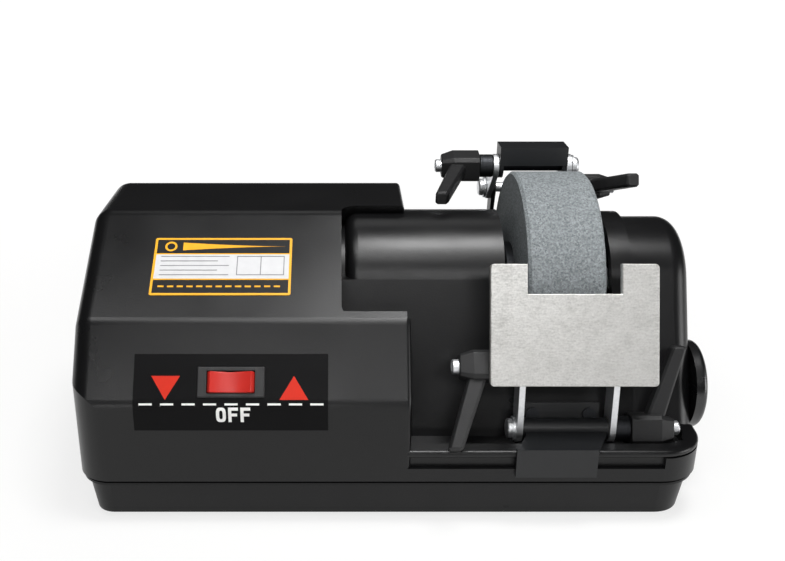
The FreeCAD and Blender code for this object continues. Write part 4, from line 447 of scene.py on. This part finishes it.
black_ink = printed("black screen ink", "#0d0d0e", "#141415")
grey_ink = printed("grey screen ink", "#8b8c8e", "#7c7d80")
amber_ink = printed("amber screen ink", "#e39d12", "#efb02a")
silver_ink = printed("silver white ink", "#d2d2d3", "#c4c4c6")

# Sizes on the plate are in millimetres from its lower left corner.
PLATE_WIDE, PLATE_TALL, BORDER = 72.7, 37.3, 1.3
LOW_FIELD_TOP, WHITE_LOW, WHITE_HIGH, HIGH_FIELD_FOOT = 9.6, 10.4, 26.2, 27.0
field_left, field_right = BORDER, PLATE_WIDE - BORDER
plate_print("nameplate_black_fields", black_ink, [
    bar(field_left, field_right, HIGH_FIELD_FOOT, PLATE_TALL - BORDER, 2),
    bar(field_left, field_right, BORDER, LOW_FIELD_TOP, 2)])
plate_print("nameplate_white_field", silver_ink, [bar(field_left, field_right, WHITE_LOW, WHITE_HIGH, 2)])

RULE, RULE_LEFT, RULE_RIGHT, RULE_SHORTER = 0.5, 4.0, 40.0, 6.0
RULE_LOW, RULE_PITCH, RULE_COUNT = 12.6, 3.0, 5
BOX_LEFT, BOX_SPLIT, BOX_RIGHT, BOX_HIGH = 44.0, 56.4, 69.0, 24.6
rules = []
for count in range(RULE_COUNT):
    up = RULE_LOW + count * RULE_PITCH
    rules.append(bar(RULE_LEFT, RULE_RIGHT - RULE_SHORTER * (count % 2), up, up + RULE, 2))
rules += [bar(BOX_LEFT, BOX_RIGHT, up, up + RULE, 2) for up in (RULE_LOW, BOX_HIGH)]
rules += [bar(x, x + RULE, RULE_LOW + RULE, BOX_HIGH, 2) for x in (BOX_LEFT, BOX_SPLIT, BOX_RIGHT - RULE)]
plate_print("nameplate_grey_rules", grey_ink, rules, lift=2 * INK)

MARKS_UP, RING_X, RING_RADIUS, RING_STROKE, CIRCLE = 31.5, 8.6, 3.2, 1.1, 2.0
STRIPE_LEFT, STRIPE_LONG, STRIPE_HALF, STRIPE_TAPER = 15.0, 54.0, 2.6, 1.6
TICK_LEFT, TICK_STEP, TICK_LONG, TICK_LOW, TICK_HIGH, TICKS = 4.0, 5.0, 3.2, 4.9, 5.9, 13
along_stripe = np.linspace(0, 1, 25)[None, :]
stripe_side = np.array([[-1.0], [1.0]])
stripe = (STRIPE_LEFT + STRIPE_LONG * along_stripe + 0 * stripe_side,
          MARKS_UP + STRIPE_HALF * stripe_side * (1 - along_stripe) ** STRIPE_TAPER)
plate_ring = ring((RING_X, MARKS_UP), RING_RADIUS, RING_RADIUS, RING_STROKE, CIRCLE)
tick_starts = [TICK_LEFT + TICK_STEP * count for count in range(TICKS)]
ticks = [bar(x, x + TICK_LONG, TICK_LOW, TICK_HIGH, 2) for x in tick_starts]
plate_print("nameplate_amber_marks", amber_ink, [stripe, plate_ring] + ticks, lift=2 * INK)

# Grinding stone: a 125 mm wheel of grey aluminium oxide in a vitrified bond, trued flat with broken edges and
# held between the flanges. Open and gritty: pale and dark grains show as a fine speckle that comes and goes
# in broad patches.

GRIT, CLUSTER, PATCH, OPEN_DEPTH = 0.8, 1.3, 14.0, 0.3
CLUSTER_LOW, CLUSTER_HIGH = 0.38, 0.62
stone, nodes = blank("grey aluminium oxide stone")
place = add(nodes, "ShaderNodeTexCoord").outputs["Object"]
# The 220 grit itself is under 0.1 mm; grains of 0.8 mm in clusters of 1.3 mm are as fine as show here.
grains = add(nodes, "ShaderNodeTexVoronoi", {"Vector": place, "Scale": 1 / (GRIT * MM)})
clusters = add(nodes, "ShaderNodeTexNoise", {"Vector": place, "Scale": 1 / (CLUSTER * MM), "Detail": 3.0})
cloudy = add(nodes, "ShaderNodeTexNoise", {"Vector": place, "Scale": 1 / (PATCH * MM), "Detail": 5.0})
pale = add(nodes, "ShaderNodeMapRange", {
    "Value": clusters.outputs["Fac"], "From Min": CLUSTER_LOW, "From Max": CLUSTER_HIGH})
speckle = add(nodes, "ShaderNodeMix", {
    0: grains.outputs["Color"], MIX_A: linear("#484c4f"), MIX_B: linear("#9fa5a7")}, data_type="RGBA")
mottle = add(nodes, "ShaderNodeMix", {
    0: pale.outputs["Result"], MIX_A: linear("#606568"), MIX_B: linear("#878d8f")}, data_type="RGBA")
stone_tint = add(nodes, "ShaderNodeMix", {
    0: cloudy.outputs["Fac"], MIX_A: speckle.outputs[MIX_OUT], MIX_B: mottle.outputs[MIX_OUT]},
    data_type="RGBA")
open_grain = add(nodes, "ShaderNodeBump", {"Height": clusters.outputs["Fac"], "Distance": OPEN_DEPTH * MM})
grit_skin = add(nodes, "ShaderNodeBsdfPrincipled", {
    "Base Color": stone_tint.outputs[MIX_OUT], "Roughness": 0.85, "Specular IOR Level": 0.3, "IOR": 1.6,
    "Normal": open_grain.outputs["Normal"]})
add(nodes, "ShaderNodeOutputMaterial", {"Surface": grit_skin.outputs["BSDF"]})
finish_nodes(stone, "grinding_stone")

# Front rest: a bent bracket hooked over the rail, two straps on a pivot bolt, and the notched plate on a tilt
# bolt. Bracket of sheet steel with a thin black powder coat, its screws blackened; straps and bolts zinc
# plated; plate ground and tumbled to an even pale grey.

black_coat = moulded("black powder coat on sheet steel", "#121315", "#17181a", grain=1.0, depth=0.03,
                     roughness=0.4, specular=0.4, cloud=16.0)
finish_nodes(black_coat, "front_bracket")
finish_nodes(zinc_plate, "front_straps", "front_pivot_bolt", "front_tilt_bolt")
black_oxide = metal("blackened steel", "#3d3e41", "#2a2b2d", streak=(0.6, 8, 8), roughness=0.5, depth=0.006)
finish_nodes(black_oxide, "front_bracket_screws")

# Grinding leaves short strokes about 0.5 mm apart, drawn 0.8 mm wide to show, and the tumbling drum leaves
# fine dimples and a faint mottle of a few millimetres over them.
STROKE_WIDE, STROKE_LONG, STROKE_TURN, MOTTLE, DIMPLE = 0.8, 3.0, 35.0, 9.0, 1.0
MOTTLE_SHARE, MARKS_LOW, MARKS_HIGH, MARKS_DEPTH = 0.8, 0.95, 1.85, 0.02
DULL, BRIGHT = 0.56, 0.4
tumbled, nodes = blank("ground and tumbled steel")
place = add(nodes, "ShaderNodeTexCoord").outputs["Object"]
strokes_at = add(nodes, "ShaderNodeMapping", {
    "Vector": place, "Rotation": (0.0, math.radians(STROKE_TURN), 0.0),
    "Scale": (1 / (STROKE_LONG * MM), 1 / (STROKE_WIDE * MM), 1 / (STROKE_WIDE * MM))})
strokes = add(nodes, "ShaderNodeTexNoise", {
    "Vector": strokes_at.outputs["Vector"], "Scale": 1.0, "Detail": 3.0})
dimples = add(nodes, "ShaderNodeTexNoise", {"Vector": place, "Scale": 1 / (DIMPLE * MM), "Detail": 4.0})
patches = add(nodes, "ShaderNodeTexNoise", {"Vector": place, "Scale": 1 / (MOTTLE * MM), "Detail": 4.0})
fine_marks = add(nodes, "ShaderNodeMath", {
    0: strokes.outputs["Fac"], 1: dimples.outputs["Fac"]}, operation="ADD")
marks = add(nodes, "ShaderNodeMath", {
    0: patches.outputs["Fac"], 1: MOTTLE_SHARE, 2: fine_marks.outputs[0]}, operation="MULTIPLY_ADD")
shine = add(nodes, "ShaderNodeMapRange", {
    "Value": marks.outputs[0], "From Min": MARKS_LOW, "From Max": MARKS_HIGH})
steel_tint = add(nodes, "ShaderNodeMix", {
    0: shine.outputs["Result"], MIX_A: linear("#b3b2af"), MIX_B: linear("#ebeae7")}, data_type="RGBA")
steel_gloss = add(nodes, "ShaderNodeMapRange", {
    "Value": shine.outputs["Result"], "To Min": DULL, "To Max": BRIGHT})
steel_dent = add(nodes, "ShaderNodeBump", {"Height": marks.outputs[0], "Distance": MARKS_DEPTH * MM})
steel_skin = add(nodes, "ShaderNodeBsdfPrincipled", {
    "Base Color": steel_tint.outputs[MIX_OUT], "Metallic": 1.0, "Roughness": steel_gloss.outputs["Result"],
    "Normal": steel_dent.outputs["Normal"]})
add(nodes, "ShaderNodeOutputMaterial", {"Surface": steel_skin.outputs["BSDF"]})
finish_nodes(tumbled, "rest_plate")

# Rear guide: a bracket screwed to the rear shelf, two straps on a pivot bolt and an angle guide over the
# stone. Black powder coated sheet, blackened screws and zinc plated straps and bolts, as at the front; the
# tilt bolt's shank is left black between its plated ends.

finish_nodes(black_coat, "rear_bracket", "rear_guide")
finish_nodes(zinc_plate, "rear_straps", "rear_pivot_bolt")
finish_nodes(black_oxide, "rear_bracket_screws")
stone_low, stone_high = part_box("grinding_stone")
wheel = (stone_low + stone_high) / 2
SHANK_HALF = 20.5 * MM
bolt_zinc = metal("bright zinc plate, dark shank", PLATED, PLATED_DULL, streak=PLATED_SPANGLE,
                  roughness=0.42, depth=0.004, shank=("#1c1c1e", wheel.x, SHANK_HALF))
finish_nodes(bolt_zinc, "rear_tilt_bolt")

# Clamp levers: a faceted hub with a leaning arm, a steel collar under it and a socket screw in its nose.
# Handles of glass-filled nylon with a coarse matt grain, collars blackened steel, screws zinc plated.

handle_nylon = moulded("glass-filled black nylon", "#131314", "#1c1c1d", grain=0.8, depth=0.06,
                       roughness=0.5, specular=0.38, cloud=7.0)
HUB_LENGTH, HUB_HALF, HUB_CUT, NOSE_HALF, TAPER = 22.5 * MM, 7.6 * MM, 2.0 * MM, 5.6 * MM, 7.0 * MM
ARM_LENGTH, ARM_LEAN, ARM_ROOT, ARM_TIP, ARM_THICK = 43.0 * MM, 14.5 * MM, 10.0 * MM, 7.5 * MM, 8.0 * MM
ARM_CUT, EDGE = 1.3 * MM, 0.4 * MM
TIP_EDGE = 2.5 * EDGE
BEVEL_FROM = 20.0
COLLAR_LENGTH, COLLAR_RADIUS, COLLAR_BORE, COLLAR_EDGE = 8.0 * MM, 6.75 * MM, 3.2 * MM, 0.5 * MM
HEAD_TALL, HEAD_SIDE, HEAD_RADIUS, HEAD_RIM = 3.6 * MM, 2.9 * MM, 3.8 * MM, 3.2 * MM
SOCKET_HALF, SOCKET_FLOOR, SOCKET_POINT = 1.75 * MM, 1.7 * MM, 1.5 * MM


def cut_rectangle(half_wide, half_tall, corner):
    """Outline of a rectangle with its corners cut off, as two arrays that close on themselves. Each size may
    be a column, for many sections at once."""
    side_wide = np.array([1, 1, 1, -1, -1, -1, -1, 1, 1])
    side_tall = np.array([-1, 1, 1, 1, 1, -1, -1, -1, -1])
    cut_wide = np.array([0, 0, 1, 1, 0, 0, 1, 1, 0])
    return side_wide * (half_wide - corner * cut_wide), side_tall * (half_tall - corner * (1 - cut_wide))


def flats(turn, count):
    """Distance from the middle to the edge of a regular polygon of that many sides, one unit from its flats:
    1 / cos of the turn from the middle of the nearest side."""
    sector = 2 * math.pi / count
    return 1 / np.cos((turn + sector / 2) % sector - sector / 2)


def turned(stations, radii, turn, shape=1.0):
    """Closed skin round the X axis: each station has its own radius, scaled round the turn by the shape."""
    radius = radii[:, None] * shape
    x = stations[:, None] + 0 * turn[None, :]
    return np.stack([x, radius * np.cos(turn), radius * np.sin(turn)], axis=-1)


def lever_place(points, side, start, pivot, angle):
    """From the lever's own frame, X out along its bolt and Y along its arm, to the machine's: mirrored in X
    for a lever on the left, turned about the bolt by the arm's angle and moved to the pivot."""
    cos, sin = math.cos(angle), math.sin(angle)
    x = start + side * points[..., 0]
    y = pivot[0] + cos * points[..., 1] - sin * points[..., 2]
    z = pivot[1] + sin * points[..., 1] + cos * points[..., 2]
    return np.stack([x, y, z], axis=-1)


def lever_hub():
    """Square sections with cut corners along X: straight from the collar, then drawn in evenly to the nose,
    with the rims broken and both ends closed."""
    station = np.array([0, 0, EDGE, HUB_LENGTH - TAPER, HUB_LENGTH - EDGE, HUB_LENGTH, HUB_LENGTH])[:, None]
    nose = NOSE_HALF + EDGE / 4
    half = np.array([0, HUB_HALF - EDGE, HUB_HALF, HUB_HALF, nose, NOSE_HALF - EDGE, 0])[:, None]
    y, z = cut_rectangle(half, half, half * HUB_CUT / HUB_HALF)
    return np.stack(np.broadcast_arrays(COLLAR_LENGTH + station, y, z), axis=-1)


def lever_arm():
    """Rectangular sections with cut corners, narrowing evenly from the middle of the hub to the tip while
    they lean out along X, with the end broken and both ends closed."""
    reach = np.array([0.0, 0.0, 0.5, 1 - TIP_EDGE / ARM_LENGTH, 1.0, 1.0])[:, None]
    less = np.array([0, 0, 0, 0, TIP_EDGE, 0])[:, None]
    solid = np.array([0, 1, 1, 1, 1, 0])[:, None]
    half_wide = solid * ((ARM_ROOT + (ARM_TIP - ARM_ROOT) * reach) / 2 - less)
    half_tall = solid * (ARM_THICK / 2 - less)
    x, z = cut_rectangle(half_wide, half_tall, solid * (ARM_CUT - less / 2))
    middle = COLLAR_LENGTH + HUB_LENGTH / 2 + ARM_LEAN * reach
    return np.stack(np.broadcast_arrays(middle + x, ARM_LENGTH * reach, z), axis=-1)


ROUND_STEPS = 48
full_turn = np.linspace(0, 2 * math.pi, ROUND_STEPS + 1)


def lever_collar():
    """Tube round the bolt with its two outer rims broken."""
    stations = [0, 0, COLLAR_EDGE, COLLAR_LENGTH - COLLAR_EDGE, COLLAR_LENGTH, COLLAR_LENGTH, 0]
    rim = COLLAR_RADIUS - COLLAR_EDGE
    radii = [COLLAR_BORE, rim, COLLAR_RADIUS, COLLAR_RADIUS, rim, COLLAR_BORE, COLLAR_BORE]
    return turned(np.array(stations), np.array(radii), full_turn)


def lever_screw():
    """Round head on the nose with its rim broken; the last three stations go down the six-sided socket to a
    shallow point."""
    stations = [0, 0, HEAD_SIDE, HEAD_TALL, HEAD_TALL, SOCKET_FLOOR, SOCKET_POINT]
    radii = [0, HEAD_RADIUS, HEAD_RADIUS, HEAD_RIM, SOCKET_HALF, SOCKET_HALF, 0]
    in_socket = np.array([0, 0, 0, 0, 1, 1, 1])[:, None]
    six_sided = np.where(in_socket, flats(full_turn, 6)[None, :], 1.0)
    return turned(COLLAR_LENGTH + HUB_LENGTH + np.array(stations), np.array(radii), full_turn, six_sided)


def united(made, other):
    """Replaces a piece's mesh by its union with another piece, which is then removed."""
    joint = made.modifiers.new("joint", "BOOLEAN")
    joint.operation = "UNION"
    joint.solver = "EXACT"
    joint.object = other
    evaluated = made.evaluated_get(bpy.context.evaluated_depsgraph_get())
    mesh = bpy.data.meshes.new_from_object(evaluated)
    made.modifiers.clear()
    made.data = mesh
    bpy.data.objects.remove(other)


# Each lever's side of the machine along X, and the angle of its arm from straight back, upwards.
LEVERS = {"front_low": (1, 70.0), "front_high": (-1, 229.0), "rear_low": (1, 158.0), "rear_high": (-1, 190.0)}
for lever, (side, degrees) in LEVERS.items():
    body = lever + "_handle"
    low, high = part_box(lever + "_lever_insert")
    pivot = ((low.y + high.y) / 2, (low.z + high.z) / 2)
    start = low.x if side > 0 else high.x
    where = (side, start, pivot, math.radians(degrees))

    hub_skin, arm_skin = lever_place(lever_hub(), *where), lever_place(lever_arm(), *where)
    handle = piece(lever + "_clamp_handle", [hub_skin], handle_nylon, body)
    united(handle, piece(lever + "_arm", [arm_skin], handle_nylon, body))
    soft = handle.modifiers.new("moulded edges", "BEVEL")
    soft.width = EDGE
    soft.segments = 2
    soft.limit_method = "ANGLE"
    soft.angle_limit = math.radians(BEVEL_FROM)
    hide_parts(lever + "_lever")

    collar_skin = lever_place(lever_collar(), *where)
    collar = piece(lever + "_clamp_collar", [collar_skin], black_oxide, body)
    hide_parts(lever + "_lever_insert")
    piece(lever + "_clamp_screw", [lever_place(lever_screw(), *where)], zinc_plate, body)

# Stage: a plain white paper floor, soft boxes above, in front, at the right and behind, and a dim grey room.
# None of it belongs to the object.

FLOOR_HALF = 6.0
WHITE = (1.0, 1.0, 1.0, 1.0)
floor_mesh = bpy.data.meshes.new("floor")
floor_corners = FLOOR_HALF * np.array([[-1, -1, 0], [1, -1, 0], [1, 1, 0], [-1, 1, 0]])
floor_mesh.from_pydata(floor_corners, [], [(0, 1, 2, 3)])
floor = bpy.data.objects.new("floor", floor_mesh)
bpy.context.scene.collection.objects.link(floor)

# The camera and mirrored rays see the paper glow up to white, less near the object, where it keeps the
# shadow. To the light itself it is plain paper.
GLOW_NEAR, GLOW_FAR = 0.76, 1.0
NEAR, FAR = 0.2, 0.9
white_floor, nodes = blank("white paper floor")
ray = add(nodes, "ShaderNodeLightPath").outputs
mirrored = add(nodes, "ShaderNodeMath", {
    0: ray["Is Camera Ray"], 1: ray["Is Glossy Ray"]}, operation="MAXIMUM")
seen = add(nodes, "ShaderNodeMath", {
    0: mirrored.outputs[0], 1: ray["Is Transmission Ray"]}, operation="MAXIMUM")
paper = add(nodes, "ShaderNodeBsdfDiffuse", {"Color": linear("#e6e6e4")})
shaded = add(nodes, "ShaderNodeBsdfDiffuse", {"Color": linear("#7c7c7b")})
floor_place = add(nodes, "ShaderNodeTexCoord").outputs["Object"]
spread = add(nodes, "ShaderNodeVectorMath", {0: floor_place}, operation="LENGTH")
lift = add(nodes, "ShaderNodeMapRange", {
    "Value": spread.outputs["Value"], "From Min": NEAR, "From Max": FAR,
    "To Min": GLOW_NEAR, "To Max": GLOW_FAR})
glow = add(nodes, "ShaderNodeEmission", {"Color": WHITE, "Strength": lift.outputs["Result"]})
paper_white = add(nodes, "ShaderNodeAddShader", {0: shaded.outputs[0], 1: glow.outputs[0]})
floor_skin = add(nodes, "ShaderNodeMixShader", {
    0: seen.outputs[0], 1: paper.outputs[0], 2: paper_white.outputs[0]})
add(nodes, "ShaderNodeOutputMaterial", {"Surface": floor_skin.outputs[0]})
floor_mesh.materials.append(white_floor)


def soft_box(name, offset, width, depth, watts):
    """Area lamp at an offset in metres from the middle of the wheel, turned to face it."""
    lamp = bpy.data.lights.new(name, "AREA")
    lamp.shape = "RECTANGLE"
    lamp.size = width
    lamp.size_y = depth
    lamp.energy = watts
    made = bpy.data.objects.new(name, lamp)
    made.location = wheel + Vector(offset)
    made.rotation_euler = (-Vector(offset)).to_track_quat("-Z", "Y").to_euler()
    bpy.context.scene.collection.objects.link(made)


soft_box("overhead_soft_box", offset=(0.06, -0.15, 0.95), width=0.3, depth=0.28, watts=7.5)
soft_box("slanting_soft_box", offset=(-0.26, -0.36, 0.9), width=0.8, depth=0.24, watts=3.9)
soft_box("front_soft_box", offset=(-0.1, -1.03, 0.67), width=0.9, depth=0.14, watts=3.5)
soft_box("low_front_strip", offset=(-0.36, -1.2, 0.12), width=0.62, depth=0.1, watts=1.2)
soft_box("right_soft_box", offset=(1.0, -0.42, 0.12), width=0.5, depth=0.5, watts=4.2)
soft_box("rear_soft_box", offset=(-0.12, 0.66, 0.95), width=0.7, depth=0.3, watts=0.8)

# The room's walls are a little lighter in front than behind, with a lighter strip along the horizon.
FRONT_WALL, BACK_WALL = 0.07, 0.03
SKIRTING, SKIRTING_LOW, SKIRTING_HIGH = 0.15, 0.03, 0.1
room = bpy.data.worlds.new("grey room")
room.use_nodes = True
nodes = room.node_tree.nodes
nodes.clear()
facing = add(nodes, "ShaderNodeSeparateXYZ", {0: add(nodes, "ShaderNodeTexCoord").outputs["Generated"]})
walls = add(nodes, "ShaderNodeMapRange", {
    "Value": facing.outputs["Y"], "From Min": -1.0, "From Max": 1.0,
    "To Min": FRONT_WALL, "To Max": BACK_WALL})
skirting = add(nodes, "ShaderNodeMapRange", {
    "Value": facing.outputs["Z"], "From Min": SKIRTING_LOW, "From Max": SKIRTING_HIGH,
    "To Min": SKIRTING, "To Max": 0.0}, interpolation_type="SMOOTHSTEP")
level = add(nodes, "ShaderNodeMath", {
    0: walls.outputs["Result"], 1: skirting.outputs["Result"]}, operation="MAXIMUM")
air = add(nodes, "ShaderNodeBackground", {"Color": WHITE, "Strength": level.outputs[0]})
add(nodes, "ShaderNodeOutputWorld", {"Surface": air.outputs[0]})
bpy.context.scene.world = room

# Camera: a little left of the wheel, looking straight back and down at the machine.
# Its place, in metres from the wheel's middle, and its lens put the stone's rim where the photograph has it.

PHOTO_WIDTH, FOCAL_PIXELS, MIDDLE_PIXEL = 785.0, 979.0, 340.0
SENSOR = 36.0
LOOK_DOWN = 22.0
FROM_WHEEL = (-0.1168, -0.5225, 0.2111)
lens = bpy.data.cameras.new("photo view")
lens.sensor_width = SENSOR
lens.lens = SENSOR * FOCAL_PIXELS / PHOTO_WIDTH
lens.shift_x = (PHOTO_WIDTH / 2 - MIDDLE_PIXEL) / PHOTO_WIDTH
lens.clip_start = 10 * MM
camera = bpy.data.objects.new("photo view", lens)
camera.location = wheel + Vector(FROM_WHEEL)
camera.rotation_euler = (math.radians(90 - LOOK_DOWN), 0.0, 0.0)
bpy.context.scene.collection.objects.link(camera)
bpy.context.scene.camera = camera
bpy.context.scene.view_settings.view_transform = "Standard"
